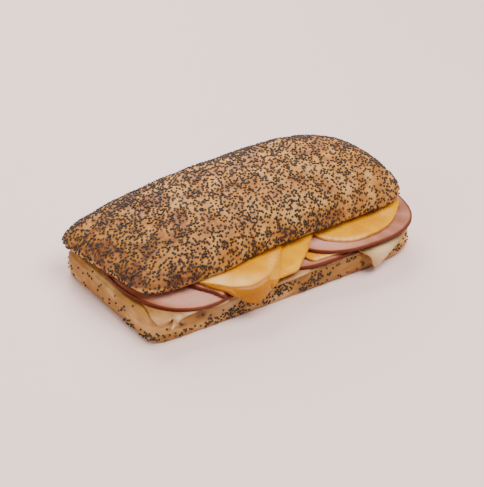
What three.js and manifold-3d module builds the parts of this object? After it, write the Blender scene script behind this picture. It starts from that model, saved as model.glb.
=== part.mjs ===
// A filled ciabatta roll: a seeded crown and heel with turkey and cheese slices between them.
// Millimetres, +Z up. The long side lies along X and the open front faces -Y.
import * as THREE from 'three';
import Module from 'manifold-3d';
import { mergeVertices } from 'three/addons/utils/BufferGeometryUtils.js';
import { MeshSurfaceSampler } from 'three/addons/math/MeshSurfaceSampler.js';

// Driving dimensions of the crown, the upper half of the roll.
const crownSize = {
  halfLength: 89,
  halfWidth: 41,
  centreX: 4.5,
  centreY: 5,
  leftSquareness: 11,
  rightSquareness: 4,
  topSquareness: 2.6,
  leftSlope: 0.43,
  rightSlope: 0.5,
  sideSlope: 0.7,
  leftSkew: 6.5,
  ridgeHeight: 52.6,
  ridgeX: 35.6,
  ridgeFall: 0.00102,
  lipCurl: 2.6,
  blisterHeight: 0.45,
};
// Height of the crown's widest line along its front and its back.
const frontLipX = [-85, -55, -30, -5, 20, 45, 70, 92];
const frontLipZ = [23, 23.6, 25, 29, 29.8, 30.2, 30, 27];
const backLipX = [-88, -45, 0, 40, 92];
const backLipZ = [19.5, 21.5, 23, 24, 24];
// How far back the crown's front is pushed along its length, and how far it slides to the right
// and sinks for each millimetre of that.
const pushX = [-88, -62, -46, -30, -5, 20, 45, 75, 92];
const pushY = [0.5, 2.2, 1.7, 2.5, 4.6, 4.8, 6.4, 6.4, 4];
const pushAside = 0.635;
const pushSink = 0.746;
// Rows of the crown: rise angles in degrees, and for each row of the cut face its share of the
// outline, its drop under the widest line, and how far it settles onto the filling.
const crownRises = [0, 13, 26, 38, 49, 59, 68, 76, 82, 86.5];
const crownUnderside = [[0.28, 1, 1], [0.55, 1, 1], [0.77, 1, 1], [0.955, 1, 0], [0.988, 0.5, 0]];
const crownColumns = 56;

// Driving dimensions of the heel, the lower half.
const heelSize = {
  halfLength: 88.5,
  halfWidth: 46.5,
  centreX: 3.5,
  centreY: 0,
  leftSquareness: 22,
  backSquareness: 8,
  rightSquareness: 3.2,
  rightUndercut: 0.03,
  leftSkew: 3.2,
  leftThickness: 14.4,
  rightThickness: 12.2,
  levelFromX: 35,
};
// Rows of the heel: share of the half sizes, share of the thickness.
const heelRows = [[0.984, 0], [0.995, 0.08], [1, 0.32], [1, 0.66], [0.99, 0.88], [0.968, 1],
  [0.7, 1], [0.4, 1]];
const heelColumns = 52;
// How much closer together the points round both halves stand at the corners.
const cornerCrowding = 0.6;

// Thickness of each kind of slice, the clearance between pieces that touch, and the ripples.
const turkeyThickness = 1.5;
const cheeseThickness = 1.5;
const sliverThickness = 1.1;
const whiteThickness = 0.8;
const clearance = 0.3;
const rippleHeight = 0.3;

// Spacing of the points round a slice, closer in front of the given line, where it bends.
const slicePaceChangeY = -36;
const sliceFrontPace = 3.4;
const sliceBackPace = 15;
const fineCount = 400;

// The front edge that slices bend over: where the bend starts, and its radius at the heel.
const bendAt = -44.6;
const bendRadius = 4.85;
const whiteBendAt = -45.3;
const whiteBendRadius = 2.9;
// The folded slice's crease: its line over the stack, how steeply the slice falls from it in
// degrees, from x to x where that changes, and where the slice then turns down in front.
// The slice lies a little higher than the one beside it.
const creaseX = [-51, -41, -35, -26, -17, -6, 4, 12];
const creaseY = [-30, -38.5, -45, -49.3, -49, -42.6, -33, -24];
const creaseRise = 0.45;
const creaseRadius = 2.6;
const creaseFall = { left: 8, middle: 90, right: 7 };
const creaseSteepens = [-38, -31];
const creaseFlattens = [-19, -11];
const creaseTurnAt = -49.6;
const creaseTurnRadius = 2.4;
const overEdge = Math.PI / 2;

// Steps of the filling's top along the roll: from x, to x, and how many slices high.
const fillingSteps = [[-70, -58, 1.3], [-36, -24, 0.85], [-6, 3, 1], [50, 60, -1.2]];

// The poppy seeds that stand out most, fused to the crust: their radii, their shape, how far their
// middle stands out of it, and where on each half they lie.
const seedSizes = [0.58, 0.52, 0.46];
const seedStretch = 1.25;
const seedFlatness = 0.7;
const seedRise = 0.25;
const seedOverLip = 2;
const heelSeedBand = [2, 10];
const crownSeedCount = 84;
const heelSeedCount = 20;
const seedSpacing = 7;

const wasm = await Module();
wasm.setup();

/** Smooth curve through heights z at places x. */
function curveThrough(xs, zs) {
  const curve = new THREE.CubicInterpolant(Float32Array.from(xs), Float32Array.from(zs), 1);
  return (x) => curve.evaluate(x)[0];
}

/** Point of a unit rounded rectangle, whose squareness differs at its two ends. */
function roundedUnit(angle, leftSquareness, rightSquareness) {
  const c = Math.cos(angle);
  const s = Math.sin(angle);
  const n = THREE.MathUtils.lerp(leftSquareness, rightSquareness, (1 + c) / 2);
  const k = (Math.abs(c) ** n + Math.abs(s) ** n) ** (-1 / n);
  return [c * k, s * k];
}

/** Angles round a rounded rectangle, closer together at its corners. */
function cornerAngles(count) {
  return Array.from({ length: count }, (_, j) => {
    const even = (2 * Math.PI * j) / count;
    return even + (cornerCrowding / 4) * Math.sin(4 * even);
  });
}

/** Closed solid from rings of points, each joined to the next, with one point at each end. */
function loftSolid(rings, firstPoint, lastPoint) {
  const count = rings[0].length;
  const positions = [firstPoint, ...rings.flat(), lastPoint].flat();
  const last = positions.length / 3 - 1;
  const at = (row, column) => 1 + row * count + (column % count);
  const index = [];
  for (let j = 0; j < count; j += 1) {
    index.push(0, at(0, j + 1), at(0, j));
    index.push(last, at(rings.length - 1, j), at(rings.length - 1, j + 1));
    for (let i = 0; i + 1 < rings.length; i += 1) {
      index.push(at(i, j), at(i, j + 1), at(i + 1, j + 1));
      index.push(at(i, j), at(i + 1, j + 1), at(i + 1, j));
    }
  }
  const geometry = new THREE.BufferGeometry();
  geometry.setAttribute('position', new THREE.Float32BufferAttribute(positions, 3));
  geometry.setIndex(index);
  return geometry;
}

// Crown

const frontLip = curveThrough(frontLipX, frontLipZ);
const backLip = curveThrough(backLipX, backLipZ);
const frontPush = curveThrough(pushX, pushY);

/** Height of the crown's widest line over a place. */
function crownLip(x, y) {
  const share = (crownSize.centreY + crownSize.halfWidth - y) / (2 * crownSize.halfWidth);
  return THREE.MathUtils.lerp(backLip(x), frontLip(x), THREE.MathUtils.clamp(share, 0, 1));
}

/** Height of the crown's widest line once its front is pushed back. */
function pushedLip(x, y) {
  const push = frontPush(x);
  const share = Math.max(0, crownSize.centreY - y) / (crownSize.halfWidth - push);
  return crownLip(x, y) - pushSink * push * share;
}

/** How far the cut face lies under the widest line, less at the left end. */
function crownCurl(x) {
  return crownSize.lipCurl * THREE.MathUtils.lerp(0.8, 1, THREE.MathUtils.smoothstep(x, -90, -50));
}

/** Height of the ridge along the crown. */
function crownRidge(x) {
  return crownSize.ridgeHeight - crownSize.ridgeFall * (x - crownSize.ridgeX) ** 2;
}

/** Shallow blisters and dips of the crust. */
function crustBlister(x, y) {
  const broad = Math.sin(x / 11 + 0.8) * Math.sin(y / 8.5 + 1.9);
  const fine = Math.sin(x / 5.5 + y / 9 + 0.4) * Math.cos(y / 5 - x / 17);
  return crownSize.blisterHeight * (broad + 0.6 * fine);
}

/** Ring of the crown at a rise angle, or of its cut face at a share of the outline. */
function crownRing(rise, share, drop, settled) {
  const size = crownSize;
  const blunt = Math.sin(rise) ** 1.5;
  const left = THREE.MathUtils.lerp(size.leftSquareness, size.topSquareness, blunt);
  const right = THREE.MathUtils.lerp(size.rightSquareness, size.topSquareness, blunt);
  const ring = [];
  for (const angle of cornerAngles(crownColumns)) {
    const [ux, uy] = roundedUnit(angle, left, right);
    const slope = THREE.MathUtils.lerp(size.leftSlope, size.rightSlope, (1 + Math.cos(angle)) / 2);
    const px = share * ux * Math.cos(rise) ** slope;
    const py = share * uy * Math.cos(rise) ** size.sideSlope;
    const x = size.centreX + size.halfLength * px - (size.leftSkew * py * (1 - px)) / 2;
    const y = size.centreY + size.halfWidth * py;
    const lip = crownLip(x, y);
    const height = (crownRidge(x) + crustBlister(x, y) - lip) * Math.sin(rise);
    const pushed = frontPush(x) * Math.max(0, -py);
    const free = lip + height - drop * crownCurl(x);
    const z = THREE.MathUtils.lerp(
      free - pushSink * pushed, Math.min(free, fillingTop(x)), settled);
    ring.push([x + pushAside * pushed, y + pushed, z]);
  }
  return ring;
}

/** The crown as one closed loft, from the middle of its cut face to its top. */
function crownGeometry() {
  const { centreX, centreY } = crownSize;
  const rings = crownUnderside.map((row) => crownRing(0, ...row));
  rings.push(...crownRises.map((rise) => crownRing(THREE.MathUtils.degToRad(rise), 1, 0, 0)));
  const low = fillingTop(centreX);
  const high = crownRidge(centreX) + crustBlister(centreX, centreY);
  return loftSolid(rings, [centreX, centreY, low], [centreX, centreY, high]);
}

// Heel

/** Height of the heel's cut face, which rises towards the left end. */
function heelTop(x) {
  const { halfLength, centreX, levelFromX, leftThickness, rightThickness } = heelSize;
  const share = Math.max(0, levelFromX - x) / (levelFromX + halfLength - centreX);
  return THREE.MathUtils.lerp(rightThickness, leftThickness, share ** 3);
}

/** The heel as one closed loft, flat below and cut nearly level above. */
function heelGeometry() {
  const { halfLength, halfWidth, centreX, centreY, leftSkew, rightUndercut } = heelSize;
  const widestRow = heelRows.find(([share]) => share === 1)[1];
  const rings = heelRows.map(([share, height]) => cornerAngles(heelColumns).map((angle) => {
    const left = THREE.MathUtils.lerp(
      heelSize.leftSquareness, heelSize.backSquareness, (1 + Math.sin(angle)) / 2);
    const [ux, uy] = roundedUnit(angle, left, heelSize.rightSquareness);
    const under = (Math.max(0, 1 - height / widestRow) * rightUndercut * (1 + ux)) / 2;
    const px = (share - under) * ux;
    const py = (share - under) * uy;
    const x = centreX + halfLength * px - (leftSkew * py * (1 - px)) / 2;
    return [x, centreY + halfWidth * py, height * heelTop(x)];
  }));
  return loftSolid(rings, [centreX, centreY, 0], [centreX, centreY, heelTop(centreX)]);
}

// Slices

const creaseLine = curveThrough(creaseX, creaseY);

/** Points round a fine outline, closer together where the slice bends. */
function paceOutline(fine) {
  const closed = [...fine, fine[0]];
  const paces = [0];
  for (let i = 1; i < closed.length; i += 1) {
    const pace = closed[i].y < slicePaceChangeY ? sliceFrontPace : sliceBackPace;
    paces.push(paces[i - 1] + closed[i].distanceTo(closed[i - 1]) / pace);
  }
  const count = Math.ceil(paces.at(-1));
  const points = [];
  for (let k = 0; k < count; k += 1) {
    const target = (k * paces.at(-1)) / count;
    const i = paces.findIndex((value) => value > target);
    const share = (target - paces[i - 1]) / (paces[i] - paces[i - 1]);
    points.push(closed[i - 1].clone().lerp(closed[i], share).toArray());
  }
  return points;
}

/** Outline of an oval slice with squared sides. */
function ovalOutline(centreX, centreY, halfLength, halfWidth, squareness) {
  const fine = [];
  for (let j = 0; j < fineCount; j += 1) {
    const [ux, uy] = roundedUnit((2 * Math.PI * j) / fineCount, squareness, squareness);
    fine.push(new THREE.Vector2(centreX + halfLength * ux, centreY + halfWidth * uy));
  }
  return paceOutline(fine);
}

/** Outline of a slice whose edge runs smoothly through the given places. */
function curvedOutline(places) {
  const knots = places.map(([x, y]) => new THREE.Vector3(x, y, 0));
  const curve = new THREE.CatmullRomCurve3(knots, true, 'centripetal');
  const fine = curve.getSpacedPoints(fineCount).slice(0, fineCount);
  return paceOutline(fine.map((p) => new THREE.Vector2(p.x, p.y)));
}

/** Outline of a straight-sided slice with rounded corners. */
function corneredOutline(corners, radius) {
  const points = corners.map(([x, y]) => new THREE.Vector2(x, y));
  const path = new THREE.Path();
  points.forEach((corner, i) => {
    const before = points[(i + points.length - 1) % points.length];
    const after = points[(i + 1) % points.length];
    const from = corner.clone().add(before.clone().sub(corner).setLength(radius));
    const to = corner.clone().add(after.clone().sub(corner).setLength(radius));
    if (i === 0) path.moveTo(from.x, from.y);
    else path.lineTo(from.x, from.y);
    path.quadraticCurveTo(corner.x, corner.y, to.x, to.y);
  });
  path.closePath();
  return paceOutline(path.getSpacedPoints(fineCount).slice(0, fineCount));
}

/** Bend over the stack's front edge: how far out and down a point ends, and its slope. */
function bendOver(out, start, radius) {
  const past = Math.max(0, start - out);
  const angle = Math.min(past / radius, overEdge);
  const hanging = past - radius * angle;
  return {
    out: Math.max(out, start) - radius * Math.sin(angle) - hanging * Math.cos(angle),
    fall: radius * (1 - Math.cos(angle)) + hanging * Math.sin(angle),
    angle,
  };
}

/** Fold of the folded slice: a fall from its crease, then a turn down in front. */
function foldOver(x, out) {
  const ease = THREE.MathUtils.smoothstep;
  const { left, middle, right } = creaseFall;
  const steepness = left + (middle - left) * ease(x, ...creaseSteepens)
    - (middle - right) * ease(x, ...creaseFlattens);
  const slope = THREE.MathUtils.degToRad(steepness);
  const start = creaseLine(x);
  const past = Math.max(0, start - out);
  const first = Math.min(past / creaseRadius, slope);
  const edge = start - creaseRadius * Math.sin(first);
  const drop = creaseRadius * (1 - Math.cos(first));
  const straight = past - creaseRadius * first;
  const reach = Math.max(0, edge - creaseTurnAt) / Math.max(Math.cos(slope), 1e-6);
  const level = Math.min(straight, reach);
  const turned = Math.min(Math.max(0, straight - reach) / creaseTurnRadius, overEdge - slope);
  const angle = first + turned;
  const hanging = Math.max(0, straight - reach - creaseTurnRadius * turned);
  return {
    out: Math.max(out, start) - (start - edge) - level * Math.cos(first)
      - creaseTurnRadius * (Math.sin(angle) - Math.sin(first)),
    fall: drop + level * Math.sin(first)
      + creaseTurnRadius * (Math.cos(first) - Math.cos(angle)) + hanging,
    angle,
  };
}

/** Place and normal of a point of a flat slice once it lies on the stack and bends over its edge. */
function drape(slice, x, y) {
  const turn = slice.turn ?? 0;
  const level = slice.level(x);
  const along = x * Math.cos(turn) + y * Math.sin(turn);
  const flatOut = y * Math.cos(turn) - x * Math.sin(turn);
  const { out, fall, angle } = slice.folded ? foldOver(x, flatOut)
    : bendOver(flatOut, slice.bendAt ?? bendAt, slice.bendRadius ?? bendRadius + level);
  const ripple = rippleHeight * (1 + Math.sin(x / 12 + 0.6) * Math.cos(y / 15)) / 2;
  const place = new THREE.Vector3(along, out, heelTop(x) + level + ripple - fall);
  const normal = new THREE.Vector3(0, -Math.sin(angle), Math.cos(angle));
  const up = new THREE.Vector3(0, 0, 1);
  return [place.applyAxisAngle(up, turn), normal.applyAxisAngle(up, turn)];
}

/** A slice of even thickness, from the middle of its lower face round to that of its upper one. */
function sliceGeometry(slice) {
  const [midX, midY] = slice.middle;
  const point = (x, y, side) => {
    const [place, normal] = drape(slice, x, y);
    return place.addScaledVector(normal, side * slice.thickness / 2).toArray();
  };
  const ring = (share, side) => slice.outline.map(
    ([x, y]) => point(midX + (x - midX) * share, midY + (y - midY) * share, side));
  const lower = slice.shares.map((share) => ring(share, -1));
  const upper = [...slice.shares].reverse().map((share) => ring(share, 1));
  return loftSolid([...lower, ...upper], point(midX, midY, -1), point(midX, midY, 1));
}

// Heights of the layers' middles over the heel, from the lowest up.
const whiteLevel = clearance + whiteThickness / 2;
const lowTurkeyLevel = whiteLevel + whiteThickness / 2 + clearance + turkeyThickness / 2;
const highTurkeyLevel = lowTurkeyLevel + turkeyThickness + clearance;
const sliverLevel = lowTurkeyLevel + turkeyThickness / 2 + clearance + sliverThickness / 2;
const rightTurkeyLevel = sliverLevel + sliverThickness / 2 + clearance + turkeyThickness / 2;
const rightCheeseLevel = rightTurkeyLevel + turkeyThickness / 2 + clearance + cheeseThickness / 2;
const sideCheeseLevel = highTurkeyLevel + turkeyThickness / 2 + clearance + cheeseThickness / 2;
const stepUp = cheeseThickness + clearance;
const level = (height) => () => height;

/** Level of a slice that steps up over others: from x, to x, and how many slices high. */
function steppedLevel(base, steps) {
  return (x) => steps.reduce(
    (sum, [from, to, high]) => sum + high * stepUp * THREE.MathUtils.smoothstep(x, from, to), base);
}

/** Height at which the crown rests on the filling. */
function fillingTop(x) {
  const turkeyTop = highTurkeyLevel + turkeyThickness / 2 + rippleHeight + clearance;
  return heelTop(x) + steppedLevel(turkeyTop, fillingSteps)(x);
}

const slices = {
  white_cheese_left: {
    outline: curvedOutline([[-78.5, -36], [-80, -43.5], [-79.4, -48], [-77.6, -49.5], [-74.5, -48.4],
      [-71.9, -47.6], [-70.3, -47.1], [-70.7, -48.7], [-71.4, -50.8], [-72.1, -52.8], [-71.1, -52.2],
      [-69.6, -50.4], [-67.5, -49], [-63, -48], [-53, -47.4], [-40, -48.2], [-36.5, -46],
      [-42, -15], [-55, 10], [-70, 5]]),
    middle: [-60, -25],
    shares: [0.45, 0.7, 0.77, 0.84, 0.89, 0.945, 1],
    level: level(whiteLevel),
    thickness: whiteThickness,
    bendAt: whiteBendAt,
    bendRadius: whiteBendRadius,
  },
  white_cheese_middle: {
    outline: corneredOutline([[-27, -49], [15, -47.2], [12, 25], [-24, 25]], 5),
    middle: [-7, -12],
    shares: [0.5, 0.87, 0.93, 1],
    level: level(whiteLevel),
    thickness: whiteThickness,
    bendAt: whiteBendAt,
    bendRadius: whiteBendRadius,
  },
  white_cheese_right: {
    outline: corneredOutline([[46.3, -42], [47.6, -49.5], [53.6, -58.6], [57.3, -58.6], [80, -41], [79, 10],
      [49, 15]], 1.8),
    middle: [64.5, -18],
    shares: [0.4, 0.66, 0.72, 0.78, 0.86, 1],
    level: level(whiteLevel),
    thickness: whiteThickness,
    turn: 0.25,
    bendAt: -60,
    bendRadius: whiteBendRadius,
  },
  turkey_left_lower: {
    outline: ovalOutline(-48, -1.5, 34, 47, 2.4),
    middle: [-48, -4],
    shares: [0.55, 0.85, 0.94, 1],
    level: level(lowTurkeyLevel),
    thickness: turkeyThickness,
  },
  turkey_right_lower: {
    outline: ovalOutline(27, -3, 39.5, 44, 2.4),
    middle: [27, -3],
    shares: [0.55, 0.9, 1],
    level: level(lowTurkeyLevel),
    thickness: turkeyThickness,
  },
  turkey_left_upper: {
    outline: curvedOutline([[-82, 4], [-80, -5], [-78.3, -14], [-75, -20.5], [-66, -23.5],
      [-56, -25.5], [-51, -30.5], [-47.3, -36], [-43.7, -41.6], [-40.5, -47.7], [-34, -42.5],
      [-10, -42], [10, -34], [12, 0], [4, 28], [-30, 38], [-58, 32], [-74, 17]]),
    middle: [-35, -2],
    shares: [0.55, 0.85, 0.94, 1],
    level: level(highTurkeyLevel),
    thickness: turkeyThickness,
  },
  turkey_right_upper: {
    outline: ovalOutline(54.7, -2, 41.6, 47, 2.8),
    middle: [54.5, -2],
    shares: [0.55, 0.85, 0.94, 1],
    level: level(rightTurkeyLevel),
    thickness: turkeyThickness,
  },
  cheese_sliver: {
    outline: corneredOutline([[16, -43.5], [44, -44.5], [52, -20], [40, 30], [18, 28]], 5),
    middle: [34, -12],
    shares: [0.5, 1],
    level: level(sliverLevel),
    thickness: sliverThickness,
  },
  cheese_right: {
    outline: curvedOutline([[30, -29.5], [36, -37.6], [43.5, -42.4], [53, -43.4], [66, -41.5],
      [75, -37], [84, -29.5], [91, -21], [88, 0], [74, 26], [45, 30], [31, 10]]),
    middle: [60, -12],
    shares: [0.6, 1],
    level: level(rightCheeseLevel),
    thickness: cheeseThickness,
  },
  cheese_side: {
    outline: corneredOutline([[5, -48.5], [14.9, -40.6], [24.1, -32], [32.4, -23], [42, -14],
      [26, 20], [-11, 22], [-11, -49.5]], 3),
    middle: [10, -14],
    shares: [0.4, 0.7, 0.85, 0.93, 1],
    level: steppedLevel(sideCheeseLevel, [[3, 11, 0.9], [16, 24, 1]]),
    thickness: cheeseThickness,
  },
  cheese_folded: {
    outline: curvedOutline([[-45.5, -34], [-39, -45.5], [-33.5, -52], [-28, -58], [-23, -60.2],
      [-17, -58], [-10, -52], [-4.5, -45.5], [2, -36.5], [8.5, -25.5], [11, -10], [0, 12], [-14, 18],
      [-36, 0], [-45, -20]]),
    middle: [-18, -19],
    shares: [0.35, 0.6, 0.72, 0.76, 0.8, 0.84, 0.9, 1],
    level: steppedLevel(sideCheeseLevel + creaseRise, [[-26, -15, 0.85], [2, 10, 0.95]]),
    thickness: cheeseThickness,
    folded: true,
  },
};

// Seeds

/** Repeatable random numbers from 0 to 1. */
function randomSource(seed) {
  let state = seed;
  return () => {
    state = (Math.imul(state, 1664525) + 1013904223) >>> 0;
    return state / 2 ** 32;
  };
}

/** Solid whose surface is a closed triangle mesh. */
function toSolid(geometry) {
  const bare = geometry.clone();
  bare.deleteAttribute('normal');
  bare.deleteAttribute('uv');
  const merged = mergeVertices(bare, 1e-4);
  const mesh = new wasm.Mesh({
    numProp: 3,
    vertProperties: merged.attributes.position.array,
    triVerts: Uint32Array.from(merged.index.array),
  });
  return new wasm.Manifold(mesh);
}

/** Triangle mesh of a solid's surface. */
function toGeometry(solid) {
  const mesh = solid.getMesh();
  const geometry = new THREE.BufferGeometry();
  geometry.setAttribute('position', new THREE.BufferAttribute(mesh.vertProperties, 3));
  geometry.setIndex(new THREE.BufferAttribute(mesh.triVerts, 1));
  return geometry;
}

/** Evenly spread places on a crust where `fits` holds, from a seeded random draw. */
function seedPlaces(crust, count, fits, seed) {
  const sampler = new MeshSurfaceSampler(new THREE.Mesh(crust.toNonIndexed()));
  sampler.setRandomGenerator(randomSource(seed)).build();
  const kept = [];
  const tries = 60 * count;
  for (let i = 0; i < tries && kept.length < count; i += 1) {
    const place = new THREE.Vector3();
    const normal = new THREE.Vector3();
    sampler.sample(place, normal);
    const apart = kept.every((other) => other.place.distanceTo(place) > seedSpacing);
    if (apart && fits(place, normal)) kept.push({ place, normal });
  }
  return kept;
}

/** Crust with poppy seeds half sunk in it, the largest first. */
function seededCrust(crust, places, seed) {
  const random = randomSource(seed);
  let solid = toSolid(crust);
  places.forEach(({ place, normal }, i) => {
    const radius = seedSizes[Math.floor((i * seedSizes.length) / places.length)];
    const grain = new THREE.SphereGeometry(radius, 5, 4);
    grain.scale(seedStretch, 1, seedFlatness);
    grain.rotateZ(2 * Math.PI * random());
    const facing = new THREE.Quaternion().setFromUnitVectors(new THREE.Vector3(0, 0, 1), normal);
    grain.applyQuaternion(facing);
    grain.translate(...place.clone().addScaledVector(normal, seedRise * radius).toArray());
    solid = solid.add(toSolid(grain));
  });
  return toGeometry(solid);
}

// The sandwich

const crust = { crown: '#b98d62', heel: '#c39a6b' };
const filling = { turkey: '#c9a7a2', cheese: '#e2ab3c', white: '#e3d9c0' };
const sliceGeometries = Object.entries(slices).map(([name, slice]) => [name, sliceGeometry(slice)]);

/** Whether a place is clear of every slice. */
function clearOfSlices(place) {
  const corner = new THREE.Vector3();
  return sliceGeometries.every(([, geometry]) => {
    const points = geometry.attributes.position;
    for (let i = 0; i < points.count; i += 1) {
      if (corner.fromBufferAttribute(points, i).distanceTo(place) < seedSpacing / 2) return false;
    }
    return true;
  });
}

const crownBody = crownGeometry();
const crownPlaces = seedPlaces(
  crownBody, crownSeedCount, (p, n) => n.z > -0.1 && p.z > pushedLip(p.x, p.y) + seedOverLip, 11);
const heelBody = heelGeometry();
const [lowest, highest] = heelSeedBand;
const heelPlaces = seedPlaces(
  heelBody, heelSeedCount,
  (p, n) => Math.abs(n.z) < 0.5 && p.z > lowest && p.z < highest && clearOfSlices(p), 23);

/** One named piece of the sandwich. */
function piece(name, geometry, colour, roughness) {
  const material = new THREE.MeshStandardMaterial({ color: colour, roughness, metalness: 0 });
  const mesh = new THREE.Mesh(geometry, material);
  mesh.name = name;
  return mesh;
}

const sandwich = new THREE.Group();
sandwich.add(piece('heel', seededCrust(heelBody, heelPlaces, 31), crust.heel, 0.85));
sandwich.add(piece('crown', seededCrust(crownBody, crownPlaces, 47), crust.crown, 0.8));
for (const [name, geometry] of sliceGeometries) {
  const kind = name.split('_')[0];
  sandwich.add(piece(name, geometry, filling[kind], 0.45));
}

// The origin is under the middle of the whole, on the surface that it rests on.
const extent = new THREE.Box3().setFromObject(sandwich);
const middle = extent.getCenter(new THREE.Vector3());
sandwich.position.set(-middle.x, -middle.y, -extent.min.z);

export default sandwich;
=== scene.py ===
"""Smoked turkey ciabatta sandwich: its seeded roll, sliced turkey and cheese, a floor, lights and camera.

Sizes are in millimetres along the roll's own axes, as the solids' sizes are, and MM turns them into metres.
The long side lies along X and the open, filled front faces -Y.
"""

import logging
import math
from collections.abc import Callable, Sequence
from dataclasses import dataclass
from enum import Enum

import bpy
import numpy as np
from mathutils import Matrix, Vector, noise


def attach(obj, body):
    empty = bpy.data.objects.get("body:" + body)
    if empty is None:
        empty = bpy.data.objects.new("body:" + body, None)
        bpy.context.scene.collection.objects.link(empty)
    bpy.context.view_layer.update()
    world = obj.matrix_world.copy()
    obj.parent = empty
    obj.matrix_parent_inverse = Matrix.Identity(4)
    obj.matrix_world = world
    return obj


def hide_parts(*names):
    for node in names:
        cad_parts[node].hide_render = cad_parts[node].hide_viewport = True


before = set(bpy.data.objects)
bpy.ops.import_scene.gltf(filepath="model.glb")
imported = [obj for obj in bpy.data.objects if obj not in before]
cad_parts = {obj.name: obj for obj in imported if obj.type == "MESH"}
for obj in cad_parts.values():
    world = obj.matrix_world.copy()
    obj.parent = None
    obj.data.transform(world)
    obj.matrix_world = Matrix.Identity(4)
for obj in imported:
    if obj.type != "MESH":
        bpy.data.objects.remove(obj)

LOG = logging.getLogger("sandwich")

MM = 0.001
BODY = "root"
# Where the roll's own axes meet, seen from the middle of the whole sandwich's box.
ROLL_ORIGIN = np.array([-3.773, 3.022, 0.0])

# One number or many.
Numbers = np.ndarray | float
Pair = tuple[float, float]
Triple = tuple[float, float, float]
# A colour as it is seen: its shares of red, green and blue, from 0 to 255.
Tone = tuple[int, int, int]
Socket = bpy.types.NodeSocket
# How thickly seeds lie, from their places and the crust's normals there.
Density = Callable[[np.ndarray, np.ndarray], np.ndarray]


class Slot(Enum):
    """Finishes that the record names."""

    CROWN = "crown_crust"
    HEEL = "heel_crust"
    TURKEY = "turkey"
    YELLOW = "yellow_cheese"
    WHITE = "white_cheese"


# Small sums


def blend(low: Numbers, high: Numbers, share: Numbers) -> Numbers:
    """Value that lies the given share of the way from low to high."""
    return low + (high - low) * share


def ease(x: Numbers, start: float, stop: float) -> np.ndarray:
    """Smooth rise from 0 at start to 1 at stop."""
    t = np.clip((np.asarray(x, float) - start) / (stop - start), 0.0, 1.0)
    return t * t * (3.0 - 2.0 * t)


def bake(red: int, green: int, blue: int) -> tuple[float, float, float, float]:
    """Scene-linear colour of a colour as it is seen.

    Args:
        red: Share of red, from 0 to 255.
        green: Share of green.
        blue: Share of blue.

    Returns:
        The linear colour, with full alpha.
    """

    def linear(value: int) -> float:
        """Linear value of one seen value."""
        c = value / 255.0
        return c / 12.92 if c <= 0.04045 else ((c + 0.055) / 1.055) ** 2.4

    return (linear(red), linear(green), linear(blue), 1.0)


@dataclass(frozen=True)
class HeightCurve:
    """Smooth curve of heights z at places x, level beyond its ends."""

    xs: tuple[float, ...]
    zs: tuple[float, ...]

    def __call__(self, x: np.ndarray) -> np.ndarray:
        """Heights at the given places.

        Args:
            x: Places along the curve.

        Returns:
            One height for each place.
        """
        xs, zs = np.array(self.xs, float), np.array(self.zs, float)
        place = np.clip(np.asarray(x, float), xs[0], xs[-1])
        right = np.clip(np.searchsorted(xs, place, side="right"), 1, len(xs) - 1)
        left = right - 1
        first, last = left == 0, right == len(xs) - 1
        before = np.where(first, right, left - 1)
        after = np.where(last, left, np.minimum(right + 1, len(xs) - 1))
        half = (xs[right] - xs[left]) / 2.0
        pull_in = half / (xs[left] - xs[before])
        pull_out = half / (xs[after] - xs[right])
        p = (place - xs[left]) / (xs[right] - xs[left])
        p2, p3 = p * p, p * p * p
        return (
            (-pull_in * p3 + 2 * pull_in * p2 - pull_in * p) * zs[before]
            + ((1 + pull_in) * p3 + (-1.5 - 2 * pull_in) * p2 + (-0.5 + pull_in) * p + 1) * zs[left]
            + ((-1 - pull_out) * p3 + (1.5 + pull_out) * p2 + 0.5 * p) * zs[right]
            + (pull_out * p3 - pull_out * p2) * zs[after]
        )


@dataclass(frozen=True)
class SoftSpot:
    """Oval mark with a soft edge, strongest in its middle."""

    across: float
    up: float
    wide: float
    high: float
    strength: float = 1.0

    def on(self, across: np.ndarray, up: np.ndarray) -> np.ndarray:
        """Strength of the mark at each place."""
        away = ((across - self.across) / self.wide) ** 2 + ((up - self.up) / self.high) ** 2
        return self.strength * np.exp(-away)


def rounded_unit(angle: np.ndarray, left: Numbers, right: Numbers) -> tuple[np.ndarray, np.ndarray]:
    """Points of a unit rounded rectangle, whose squareness differs at its two ends.

    Args:
        angle: Directions in radians.
        left: Squareness of the -X end.
        right: Squareness of the +X end.

    Returns:
        The x and the y of each point.
    """
    c, s = np.cos(angle), np.sin(angle)
    n = blend(left, right, (1 + c) / 2)
    k = (np.abs(c) ** n + np.abs(s) ** n) ** (-1 / n)
    return c * k, s * k


# Work at the bench


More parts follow.
